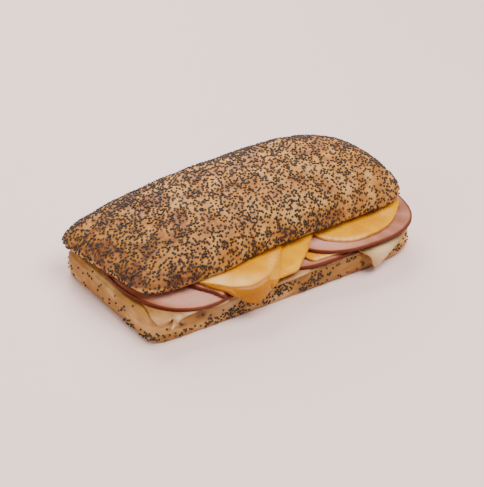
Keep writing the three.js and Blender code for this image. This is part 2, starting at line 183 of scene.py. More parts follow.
class Bench:
    """Operator steps that every piece goes through."""

    @staticmethod
    def clear() -> None:
        """Leaves nothing selected."""
        bpy.ops.object.select_all(action="DESELECT")

    @staticmethod
    def hold(piece: bpy.types.Object) -> None:
        """Selects one piece alone, as the active one.

        Args:
            piece: The piece to work on.
        """
        Bench.clear()
        piece.select_set(True)
        bpy.context.view_layer.objects.active = piece

    @staticmethod
    def name(piece: bpy.types.Object, name: str) -> bpy.types.Object:
        """Names a piece and its mesh alike.

        Args:
            piece: The piece.
            name: Its new name.

        Returns:
            The same piece.
        """
        piece.name = name
        piece.data.name = name
        return piece

    @staticmethod
    def vertices(piece: bpy.types.Object) -> np.ndarray:
        """Vertices of a piece as its mesh holds them.

        Args:
            piece: The piece.

        Returns:
            Three coordinates for each vertex.
        """
        flat = np.empty(len(piece.data.vertices) * 3)
        piece.data.vertices.foreach_get("co", flat)
        return flat.reshape(-1, 3)

    @staticmethod
    def points(piece: bpy.types.Object) -> np.ndarray:
        """Vertices of a piece in the roll's own axes, in millimetres."""
        return Bench.vertices(piece) / MM - ROLL_ORIGIN

    @staticmethod
    def place(piece: bpy.types.Object, points: np.ndarray) -> None:
        """Moves a piece's vertices to places in the roll's own axes, in millimetres."""
        piece.data.vertices.foreach_set("co", ((points + ROLL_ORIGIN) * MM).ravel())
        piece.data.update()

    @staticmethod
    def mark(piece: bpy.types.Object, name: str, values: np.ndarray) -> None:
        """Keeps a value for each vertex under the given name."""
        layer = piece.data.attributes.new(name, "FLOAT", "POINT")
        layer.data.foreach_set("value", np.asarray(values, np.float32))

    @staticmethod
    def change(piece: bpy.types.Object, kind: str, **settings: object) -> None:
        """Adds a modifier to a piece and applies it.

        Args:
            piece: The piece, which becomes the active one.
            kind: Which modifier.
            settings: The modifier's settings.
        """
        Bench.hold(piece)
        bpy.ops.object.modifier_add(type=kind)
        modifier = piece.modifiers[-1]
        for name, value in settings.items():
            setattr(modifier, name, value)
        bpy.ops.object.modifier_apply(modifier=modifier.name)

    @staticmethod
    def roughen(piece: bpy.types.Object, grain: float, height: float, group: str = "") -> None:
        """Raises and dents a piece with soft noise.

        Args:
            piece: The piece, whose vertices move along their normals.
            grain: Size of the noise in millimetres.
            height: Distance in millimetres from the deepest dent to the highest bump.
            group: Vertex group that holds the noise back, if any.
        """
        cloud = bpy.data.textures.new(f"{piece.name}_unevenness", "CLOUDS")
        cloud.noise_scale = grain * MM
        cloud.noise_depth = 1
        Bench.change(
            piece,
            "DISPLACE",
            texture=cloud,
            texture_coords="LOCAL",
            strength=height * MM,
            mid_level=0.5,
            vertex_group=group,
        )

    @staticmethod
    def outward(piece: bpy.types.Object) -> None:
        """Turns every face of a closed piece outwards.

        Args:
            piece: The piece, which becomes the active one.
        """
        Bench.hold(piece)
        bpy.ops.object.mode_set(mode="EDIT")
        bpy.ops.mesh.select_all(action="SELECT")
        bpy.ops.mesh.normals_make_consistent(inside=False)
        bpy.ops.object.mode_set(mode="OBJECT")

    @staticmethod
    def finish(piece: bpy.types.Object, material: bpy.types.Material, slot: Slot, nodes: Sequence[str]) -> None:
        """Dresses a piece, joins it to the body and puts it in the place of its solids.

        Args:
            piece: The finished mesh.
            material: Its finish.
            slot: The record's name for that finish, not used.
            nodes: The solids that it stands for, if any.
        """
        piece.data.materials.clear()
        piece.data.materials.append(material)
        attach(piece, BODY)
        if nodes:
            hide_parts(*nodes)
        LOG.info("%s: %d faces", piece.name, len(piece.data.polygons))


# Finishes


class Recipe:
    """Shader nodes of one tree, each fed as it is added."""

    # Places of a colour mix's sockets, which share their names with its other kinds.
    MIX_INPUTS = (0, 6, 7)
    MIX_OUTPUT = 2

    def __init__(self, tree: bpy.types.NodeTree) -> None:
        """Starts on an empty tree."""
        self.tree = tree

    def node(self, kind: str, **settings: object) -> bpy.types.Node:
        """Adds a node.

        Args:
            kind: Which node.
            settings: The node's settings.

        Returns:
            The new node.
        """
        node = self.tree.nodes.new(kind)
        for name, value in settings.items():
            setattr(node, name, value)
        return node

    def join(self, value: object, socket: Socket) -> None:
        """Joins a socket to an input, or sets the input to a plain value.

        Args:
            value: The socket or the plain value.
            socket: The input.
        """
        if isinstance(value, bpy.types.NodeSocket):
            self.tree.links.new(value, socket)
        else:
            socket.default_value = value

    def feed(self, node: bpy.types.Node, **inputs: object) -> bpy.types.Node:
        """Joins or sets a node's inputs.

        Args:
            node: The node to feed.
            inputs: A socket or a plain value for each input, with its spaces as underscores.

        Returns:
            The same node.
        """
        for name, value in inputs.items():
            self.join(value, node.inputs[name.replace("_", " ")])
        return node

    def place(self) -> Socket:
        """Place on the piece, in metres along the frame's axes."""
        return self.node("ShaderNodeTexCoord").outputs["Object"]

    def mark(self, name: str) -> Socket:
        """Value that the mesh keeps under a name."""
        return self.node("ShaderNodeAttribute", attribute_name=name).outputs["Fac"]

    def stretch(self, place: Socket, scale: Triple) -> Socket:
        """Place scaled differently along each axis."""
        return self.feed(self.node("ShaderNodeMapping"), Vector=place, Scale=scale).outputs["Vector"]

    def noise(self, place: Socket, grain: float, detail: float = 2.0, rough: float = 0.5) -> Socket:
        """Soft noise whose lumps are about `grain` millimetres across."""
        node = self.node("ShaderNodeTexNoise")
        return self.feed(node, Vector=place, Scale=1.0 / (grain * MM), Detail=detail, Roughness=rough).outputs["Fac"]

    def cells(self, place: Socket, grain: float) -> Socket:
        """Distance to the nearest of points about `grain` millimetres apart."""
        return self.feed(self.node("ShaderNodeTexVoronoi"), Vector=place, Scale=1.0 / (grain * MM)).outputs["Distance"]

    def sum(self, operation: str, first: object, second: object) -> Socket:
        """One step of arithmetic.

        Args:
            operation: Which step.
            first: The first value or socket.
            second: The second value or socket.

        Returns:
            The result.
        """
        node = self.node("ShaderNodeMath", operation=operation)
        self.join(first, node.inputs[0])
        self.join(second, node.inputs[1])
        return node.outputs["Value"]

    def plus(self, first: object, second: object) -> Socket:
        """Two values added."""
        return self.sum("ADD", first, second)

    def times(self, first: object, second: object) -> Socket:
        """Two values multiplied."""
        return self.sum("MULTIPLY", first, second)

    def span(self, value: object, low: float, high: float, to_low: float = 0.0, to_high: float = 1.0) -> Socket:
        """Value eased from one range to another, and held at its ends.

        Args:
            value: The value or socket.
            low: Start of its range.
            high: End of its range.
            to_low: Result at the start.
            to_high: Result at the end.

        Returns:
            The result.
        """
        node = self.node("ShaderNodeMapRange", interpolation_type="SMOOTHSTEP")
        self.feed(node, Value=value, From_Min=low, From_Max=high, To_Min=to_low, To_Max=to_high)
        return node.outputs["Result"]

    def mix(self, share: object, first: object, second: object) -> Socket:
        """Two colours mixed.

        Args:
            share: Share of the second colour.
            first: The first colour.
            second: The second colour.

        Returns:
            The mixed colour.
        """
        node = self.node("ShaderNodeMix", data_type="RGBA")
        for index, value in zip(self.MIX_INPUTS, (share, first, second)):
            self.join(value, node.inputs[index])
        return node.outputs[self.MIX_OUTPUT]

    def relief(self, height: Socket, depth: float, under: Socket | None = None) -> Socket:
        """Normal of a relief.

        Args:
            height: Its height, from 0 to 1.
            depth: Its depth in millimetres.
            under: Normal of another relief that it lies on, if any.

        Returns:
            The normal.
        """
        node = self.feed(self.node("ShaderNodeBump"), Height=height, Distance=depth * MM, Strength=1.0)
        if under is not None:
            self.feed(node, Normal=under)
        return node.outputs["Normal"]

    def group(self, tree: bpy.types.NodeTree, **inputs: object) -> bpy.types.Node:
        """Places a shared effect with its own values."""
        return self.feed(self.node("ShaderNodeGroup", node_tree=tree), **inputs)


def shared_effect(
    name: str, inputs: dict[str, str], outputs: dict[str, str]
) -> tuple[Recipe, bpy.types.Node, bpy.types.Node]:
    """Starts a shared effect.

    Args:
        name: Its name.
        inputs: Socket type for each input.
        outputs: Socket type for each output.

    Returns:
        The recipe of its tree, and the nodes of its inputs and outputs.
    """
    tree = bpy.data.node_groups.new(name, "ShaderNodeTree")
    for direction, sockets in (("INPUT", inputs), ("OUTPUT", outputs)):
        for label, kind in sockets.items():
            tree.interface.new_socket(label, in_out=direction, socket_type=kind)
    recipe = Recipe(tree)
    return recipe, recipe.node("NodeGroupInput"), recipe.node("NodeGroupOutput")


def new_finish(name: str) -> tuple[bpy.types.Material, Recipe, bpy.types.Node]:
    """Starts a material with its shader joined to its surface.

    Args:
        name: The material's name.

    Returns:
        The material, its recipe and its shader.
    """
    material = bpy.data.materials.new(name)
    material.use_nodes = True
    tree = material.node_tree
    tree.nodes.clear()
    recipe = Recipe(tree)
    shader = recipe.node("ShaderNodeBsdfPrincipled")
    recipe.feed(recipe.node("ShaderNodeOutputMaterial"), Surface=shader.outputs["BSDF"])
    return material, recipe, shader


class SharedEffects:
    """Effects that more than one finish uses."""

    def __init__(self) -> None:
        """Builds each effect once."""
        self.mottle = self._mottle()
        self.crumb = self._crumb()

    def mottled(self, recipe: Recipe, place: Socket, broad: float, fine: float) -> bpy.types.Node:
        """Places the mottle, with patches and specks of the given sizes in millimetres."""
        return recipe.group(self.mottle, Place=place, Broad=1 / (broad * MM), Fine=1 / (fine * MM))

    @staticmethod
    def _mottle() -> bpy.types.NodeTree:
        """Patches of two sizes, and the finer one's grain as a height.

        Returns:
            The effect's tree.
        """
        recipe, source, result = shared_effect(
            "mottle",
            {"Place": "NodeSocketVector", "Broad": "NodeSocketFloat", "Fine": "NodeSocketFloat"},
            {"Patches": "NodeSocketFloat", "Specks": "NodeSocketFloat", "Grain": "NodeSocketFloat"},
        )
        place = source.outputs["Place"]
        broad, fine = recipe.node("ShaderNodeTexNoise"), recipe.node("ShaderNodeTexNoise")
        recipe.feed(broad, Vector=place, Scale=source.outputs["Broad"], Detail=3.0, Roughness=0.55)
        recipe.feed(fine, Vector=place, Scale=source.outputs["Fine"], Detail=3.0, Roughness=0.6)
        recipe.feed(
            result,
            Patches=recipe.span(broad.outputs["Fac"], 0.36, 0.64),
            Specks=recipe.span(fine.outputs["Fac"], 0.42, 0.7),
            Grain=fine.outputs["Fac"],
        )
        return recipe.tree

    @staticmethod
    def _crumb() -> bpy.types.NodeTree:
        """Colour and height of open crumb, with its holes darkened by painted shade.

        Returns:
            The effect's tree.
        """
        recipe, source, result = shared_effect(
            "crumb",
            {"Place": "NodeSocketVector", "Pale": "NodeSocketColor", "Deep": "NodeSocketColor"},
            {"Color": "NodeSocketColor", "Height": "NodeSocketFloat"},
        )
        place = source.outputs["Place"]
        holes = recipe.span(recipe.cells(place, 4.2), 0.12, 0.5)
        pores = recipe.span(recipe.cells(place, 1.3), 0.1, 0.55)
        height = recipe.plus(recipe.times(holes, 0.75), recipe.times(pores, 0.25))
        recipe.feed(
            result,
            Color=recipe.mix(height, source.outputs["Deep"], source.outputs["Pale"]),
            Height=height,
        )
        return recipe.tree


@dataclass(frozen=True)
class CrustFinish:
    """Baked crust with its cut crumb."""

    name: str
    pale: Tone
    golden: Tone
    toasted: Tone
    film: Tone = (206, 172, 130)
    crumb_pale: Tone = (186, 134, 84)
    # Colour painted in the crumb's holes as shade.
    crumb_hole_shade: Tone = (150, 96, 50)
    streaks: float = 1.0
    patch_size: float = 11.0
    speck_size: float = 2.6
    speck_share: float = 0.22
    grain_depth: float = 0.4
    pore_size: float = 0.8
    pore_depth: float = 0.1
    crumb_depth: float = 0.9
    shine: float = 0.4
    glow: float = 0.08
    glow_reach: Triple = (0.003, 0.0015, 0.0007)

    def material(self, effects: SharedEffects) -> bpy.types.Material:
        """Makes the finish.

        Args:
            effects: The shared effects.

        Returns:
            The material.
        """
        material, recipe, shader = new_finish(self.name)
        place = recipe.place()
        run = recipe.stretch(place, (self.streaks, self.streaks, 1.0))
        mottle = effects.mottled(recipe, run, self.patch_size, self.speck_size)
        # Toast and painted shade, marked on the mesh, pull the crust towards the toasted colour.
        toast_and_shade = recipe.mark("toast_and_shade")
        patches = recipe.plus(recipe.times(mottle.outputs["Patches"], 0.7), recipe.times(toast_and_shade, 0.45))
        colour = recipe.mix(recipe.span(patches, 0.1, 0.75), bake(*self.pale), bake(*self.golden))
        colour = recipe.mix(recipe.span(patches, 0.7, 1.25), colour, bake(*self.toasted))
        colour = recipe.mix(recipe.times(mottle.outputs["Specks"], self.speck_share), colour, bake(*self.toasted))
        colour = recipe.mix(recipe.mark("tint_and_painted_light"), colour, bake(*self.film))
        crumb = recipe.group(effects.crumb, Place=place, Pale=bake(*self.crumb_pale), Deep=bake(*self.crumb_hole_shade))
        cut = recipe.span(recipe.mark("cut"), 0.4, 0.6)
        skin = recipe.relief(mottle.outputs["Grain"], self.grain_depth)
        skin = recipe.relief(recipe.noise(run, self.pore_size, 2.0), self.pore_depth, skin)
        pitted = recipe.times(crumb.outputs["Height"], cut)
        recipe.feed(
            shader,
            Base_Color=recipe.mix(cut, colour, crumb.outputs["Color"]),
            Roughness=recipe.span(mottle.outputs["Grain"], 0.3, 0.7, 0.5, 0.7),
            Normal=recipe.relief(pitted, self.crumb_depth, skin),
            Specular_IOR_Level=self.shine,
            Subsurface_Weight=self.glow,
            Subsurface_Radius=self.glow_reach,
        )
        return material


@dataclass(frozen=True)
class TurkeyFinish:
    """Moist sliced meat with a smoked rim."""

    flesh: Tone = (206, 152, 140)
    peach: Tone = (194, 124, 88)
    fat: Tone = (220, 178, 164)
    rim: Tone = (92, 28, 2)
    smoky_and_shade: Tone = (138, 72, 36)
    patch_size: float = 9.0
    speck_size: float = 1.4
    fibre_size: float = 0.55
    rim_width: Pair = (0.7, 1.9)
    peach_width: Pair = (0.8, 6.0)
    rim_wander: float = 0.2
    grain_depth: float = 0.12
    shine: float = 0.34
    glow: float = 0.08
    glow_reach: Triple = (0.002, 0.001, 0.0007)

    def material(self, effects: SharedEffects) -> bpy.types.Material:
        """Makes the finish.

        Args:
            effects: The shared effects.

        Returns:
            The material.
        """
        material, recipe, shader = new_finish("smoked_turkey")
        place = recipe.place()
        mottle = effects.mottled(recipe, place, self.patch_size, self.speck_size)
        wander = recipe.span(recipe.noise(place, 14.0), 0.3, 0.7, -self.rim_wander, self.rim_wander)
        inward = recipe.plus(recipe.mark("rim"), wander)
        flesh = recipe.mix(recipe.times(mottle.outputs["Patches"], 0.25), bake(*self.flesh), bake(*self.peach))
        flesh = recipe.mix(recipe.span(inward, *self.peach_width), bake(*self.peach), flesh)
        flesh = recipe.mix(recipe.times(mottle.outputs["Specks"], 0.2), flesh, bake(*self.fat))
        fibre = recipe.span(recipe.noise(place, self.fibre_size, 3.0, 0.6), 0.35, 0.7, 0.0, 0.35)
        flesh = recipe.mix(fibre, flesh, bake(*self.peach))
        # Smoky darkening where marked, partly painted shade under the crown.
        flesh = recipe.mix(recipe.mark("tint_and_painted_light"), flesh, bake(*self.smoky_and_shade))
        recipe.feed(
            shader,
            Base_Color=recipe.mix(recipe.span(inward, *self.rim_width), bake(*self.rim), flesh),
            Roughness=recipe.plus(
                recipe.span(mottle.outputs["Grain"], 0.3, 0.7, 0.34, 0.5),
                recipe.span(inward, *self.rim_width, 0.3, 0.0),
            ),
            Normal=recipe.relief(mottle.outputs["Grain"], self.grain_depth),
            Specular_IOR_Level=self.shine,
            Subsurface_Weight=self.glow,
            Subsurface_Radius=self.glow_reach,
        )
        return material


@dataclass(frozen=True)
class CheeseFinish:
    """Soft cheese slice, paler where it is marked, partly with its own cream and partly with painted highlight, and
    darker on a folded flap with painted shade.
    """

    name: str
    body: Tone
    bright: Tone
    # Colour of the slice's edge, also painted as shade on a folded flap.
    edge: Tone
    # Colour of the marked spots, partly the cheese's own cream and partly painted highlight.
    pale: Tone
    roughness: float = 0.22
    roughness_range: float = 0.14
    patch_size: float = 12.0
    speck_size: float = 1.8
    rim_width: Pair = (-1.6, 1.2)
    grain_depth: float = 0.06
    shine: float = 0.2
    glow: float = 0.06
    glow_reach: Triple = (0.003, 0.002, 0.0008)

    def material(self, effects: SharedEffects) -> bpy.types.Material:
        """Makes the finish.

        Args:
            effects: The shared effects.

        Returns:
            The material.
        """
        material, recipe, shader = new_finish(self.name)
        place = recipe.place()
        mottle = effects.mottled(recipe, place, self.patch_size, self.speck_size)
        smooth, rough = self.roughness, self.roughness + self.roughness_range
        colour = recipe.mix(mottle.outputs["Patches"], bake(*self.body), bake(*self.bright))
        colour = recipe.mix(recipe.span(recipe.mark("rim"), *self.rim_width), bake(*self.edge), colour)
        colour = recipe.mix(recipe.times(mottle.outputs["Specks"], 0.15), colour, bake(*self.bright))
        # Painted shade: a folded flap, which hangs down in front, takes the edge colour.
        colour = recipe.mix(recipe.times(recipe.mark("fold_shade"), 0.9), colour, bake(*self.edge))
        recipe.feed(
            shader,
            # Marked spots take the pale colour: own cream, and painted highlight on the folded slice and the right
            # slice's edge.
            Base_Color=recipe.mix(recipe.mark("tint_and_painted_light"), colour, bake(*self.pale)),
            Roughness=recipe.span(mottle.outputs["Grain"], 0.3, 0.7, smooth, rough),
            Normal=recipe.relief(mottle.outputs["Grain"], self.grain_depth),
            Specular_IOR_Level=self.shine,
            Subsurface_Weight=self.glow,
            Subsurface_Radius=self.glow_reach,
        )
        return material


@dataclass(frozen=True)
class SeedFinish:
    """Poppy seeds, each a little different, with a fine net of ridges."""

    dark: Tone = (30, 18, 11)
    light: Tone = (78, 62, 52)
    net_size: float = 0.16
    net_depth: float = 0.04
    shine: float = 0.3

    def material(self) -> bpy.types.Material:
        """Makes the finish.

        Returns:
            The material.
        """
        material, recipe, shader = new_finish("poppy_seed")
        net = recipe.span(recipe.cells(recipe.place(), self.net_size), 0.2, 0.5)
        colour = recipe.mix(recipe.mark("shade"), bake(*self.dark), bake(*self.light))
        recipe.feed(
            shader,
            Base_Color=recipe.mix(recipe.times(net, 0.2), colour, bake(*self.light)),
            Roughness=recipe.span(recipe.mark("shade"), 0.0, 1.0, 0.36, 0.5),
            Normal=recipe.relief(net, self.net_depth),
            Specular_IOR_Level=self.shine,
        )
        return material


@dataclass(frozen=True)
class FloorFinish:
    """Plain pale floor."""

    colour: Tone = (240, 212, 206)
    cloud: Tone = (226, 198, 192)
    cloud_size: float = 300.0
    cloud_share: float = 0.06
    roughness: float = 0.55

    def material(self) -> bpy.types.Material:
        """Makes the finish.

        Returns:
            The material.
        """
        material, recipe, shader = new_finish("pale_floor")
        share = recipe.span(recipe.noise(recipe.place(), self.cloud_size), 0.3, 0.7, 0.0, self.cloud_share)
        colour = recipe.mix(share, bake(*self.colour), bake(*self.cloud))
        recipe.feed(shader, Base_Color=colour, Roughness=self.roughness)
        return material


CROWN_CRUST = CrustFinish("crown_crust", pale=(198, 147, 80), golden=(172, 112, 42), toasted=(122, 68, 28))
HEEL_CRUST = CrustFinish(
    "heel_crust", pale=(200, 154, 90), golden=(158, 108, 44), toasted=(114, 70, 22), streaks=0.3
)
YELLOW_CHEESE = CheeseFinish(
    "yellow_cheese", body=(214, 142, 0), bright=(228, 162, 0), edge=(154, 90, 0), pale=(255, 208, 134)
)
WHITE_CHEESE = CheeseFinish(
    "white_cheese",
    body=(150, 100, 52),
    bright=(172, 124, 72),
    edge=(158, 106, 56),
    pale=(232, 208, 160),
    roughness=0.26,
    glow=0.1,
)


# The roll


def new_ball(
    name: str, columns: int, rows: int, corner_crowding: float
) -> tuple[bpy.types.Object, np.ndarray, np.ndarray]:
    """Starts half a roll as a ball, whose vertices are then moved to their places.

    Args:
        name: The piece's name.
        columns: How many vertices go round it.
        rows: How many rows of faces lie between its poles.
        corner_crowding: How closely the vertices draw together at the corners.

    Returns:
        The piece and, for each vertex, its direction in radians and its share of the way from the lower to the
        upper pole.
    """
    Bench.clear()
    bpy.ops.mesh.primitive_uv_sphere_add(segments=columns, ring_count=rows, radius=1.0)
    piece = Bench.name(bpy.context.object, name)
    co = Bench.vertices(piece)
    even = np.arctan2(co[:, 1], co[:, 0])
    step = np.arcsin(np.clip(co[:, 2], -1, 1)) / math.pi + 0.5
    return piece, even + corner_crowding / 4 * np.sin(4 * even), step


@dataclass
class Heel:
    """Lower half of the roll, flat below and cut nearly level above."""

    half_length: float = 88.5
    half_width: float = 46.5
    centre_x: float = 3.5
    centre_y: float = 0.0
    left_squareness: float = 22.0
    back_squareness: float = 8.0
    right_squareness: float = 3.2
    right_undercut: float = 0.03
    widest_height: float = 0.32
    left_skew: float = 3.2
    left_thickness: float = 14.4
    right_thickness: float = 12.2
    level_from_x: float = 35.0
    columns: int = 288
    rows: int = 150
    corner_crowding: float = 0.6
    # Share of the outline and of the thickness at steps from the underside's middle to the top's.
    steps: tuple[float, ...] = (0.0, 0.2, 0.23, 0.3, 0.42, 0.5, 0.55, 0.75, 0.9, 1.0)
    shares: tuple[float, ...] = (0.0, 0.984, 0.995, 1.0, 1.0, 0.99, 0.968, 0.7, 0.4, 0.0)
    heights: tuple[float, ...] = (0.0, 0.0, 0.08, 0.32, 0.66, 0.88, 1.0, 1.0, 1.0, 1.0)
    # Marks on the front, which lies before front_y, by place along the roll and height, and one at the corner. The
    # hollow is dented and darkened with painted shade.
    front_y: float = -40.0
    hollow: SoftSpot = SoftSpot(-53.3, 9.8, 2.6, 1.8)
    hollow_depth: float = 0.9
    hollow_shade: float = 2.2
    brown_patch: SoftSpot = SoftSpot(-64.3, 7.6, 2.4, 1.4, 1.3)
    brown_corner: SoftSpot = SoftSpot(-82, -44, 7, 7, 0.6)
    moist_film: SoftSpot = SoftSpot(-35, 0.75, 12, 0.3, 0.4)
    # Noise on the sides: its size and its height. The underside, up to flat_height, stays flat.
    unevenness: tuple[Pair, ...] = ((6.0, 0.5), (1.6, 0.22))
    flat_height: float = 0.4

    def top(self, x: Numbers) -> Numbers:
        """Height of the cut face, which rises towards the left end."""
        share = np.maximum(0.0, self.level_from_x - x) / (self.level_from_x + self.half_length - self.centre_x)
        return blend(self.right_thickness, self.left_thickness, share**3)

    def toast_and_shade(self, x: np.ndarray, y: np.ndarray, height: np.ndarray) -> np.ndarray:
        """How brown the crust is, with painted shade added on the front face and in its hollow.

        Args:
            x: Places along the roll.
            y: Places across it.
            height: Share of the thickness that lies under each place.

        Returns:
            The browning at each place.
        """
        z = height * self.top(x)
        to_right = ease(x, 40, 75)
        # Darker towards the bottom, less so at the right end.
        toast_and_shade = (0.7 - 0.35 * to_right) * (1 - ease(height, 0.0, 0.3))
        # Painted shade: the middle of the front face darker.
        toast_and_shade += 0.35 * ease(-y, 38, 44) * ease(x, -78, -60) * (1 - to_right)
        toast_and_shade += 0.5 * ease(-x, 70, 80) * ease(y, -5, 30)
        # Painted shade in the front hollow, and a darker patch beside it.
        toast_and_shade += (self.hollow_shade * self.hollow.on(x, z) + self.brown_patch.on(x, z)) * (y < self.front_y)
        return toast_and_shade + self.brown_corner.on(x, y) * (1 - ease(height, 0.3, 0.9))

    def shape(self) -> bpy.types.Object:
        """Shapes a ball into the heel, with its cut face, its toast and painted shade, and its moist film marked.

        Returns:
            The piece.
        """
        piece, angle, step = new_ball("heel_bread", self.columns, self.rows, self.corner_crowding)
        share = np.interp(step, self.steps, self.shares)
        height = np.interp(step, self.steps, self.heights)
        left = blend(self.left_squareness, self.back_squareness, (1 + np.sin(angle)) / 2)
        ux, uy = rounded_unit(angle, left, self.right_squareness)
        under = np.maximum(0.0, 1 - height / self.widest_height) * self.right_undercut * (1 + ux) / 2
        px, py = (share - under * (share > 0)) * ux, (share - under * (share > 0)) * uy
        x = self.centre_x + self.half_length * px - self.left_skew * py * (1 - px) / 2
        y = self.centre_y + self.half_width * py
        z = height * self.top(x)
        front = y < self.front_y
        Bench.place(piece, np.column_stack([x, y + self.hollow_depth * self.hollow.on(x, z) * front, z]))
        Bench.mark(piece, "cut", ease(step, 0.5, 0.54) * (1 - ease(-x, 70, 78)))
        Bench.mark(piece, "toast_and_shade", self.toast_and_shade(x, y, height))
        Bench.mark(piece, "tint_and_painted_light", self.moist_film.on(x, height) * front)
        return piece

    def make(self, material: bpy.types.Material) -> bpy.types.Object:
        """Builds, roughens and dresses the heel.

        Args:
            material: The crust's finish.

        Returns:
            The finished piece.
        """
        piece = self.shape()
        side = piece.vertex_groups.new(name="side")
        side.add(np.flatnonzero(Bench.points(piece)[:, 2] > self.flat_height).tolist(), 1.0, "REPLACE")
        for grain, height in self.unevenness:
            Bench.roughen(piece, grain, height, side.name)
        Bench.outward(piece)
        bpy.ops.object.shade_smooth()
        Bench.finish(piece, material, Slot.HEEL, ["heel"])
        return piece


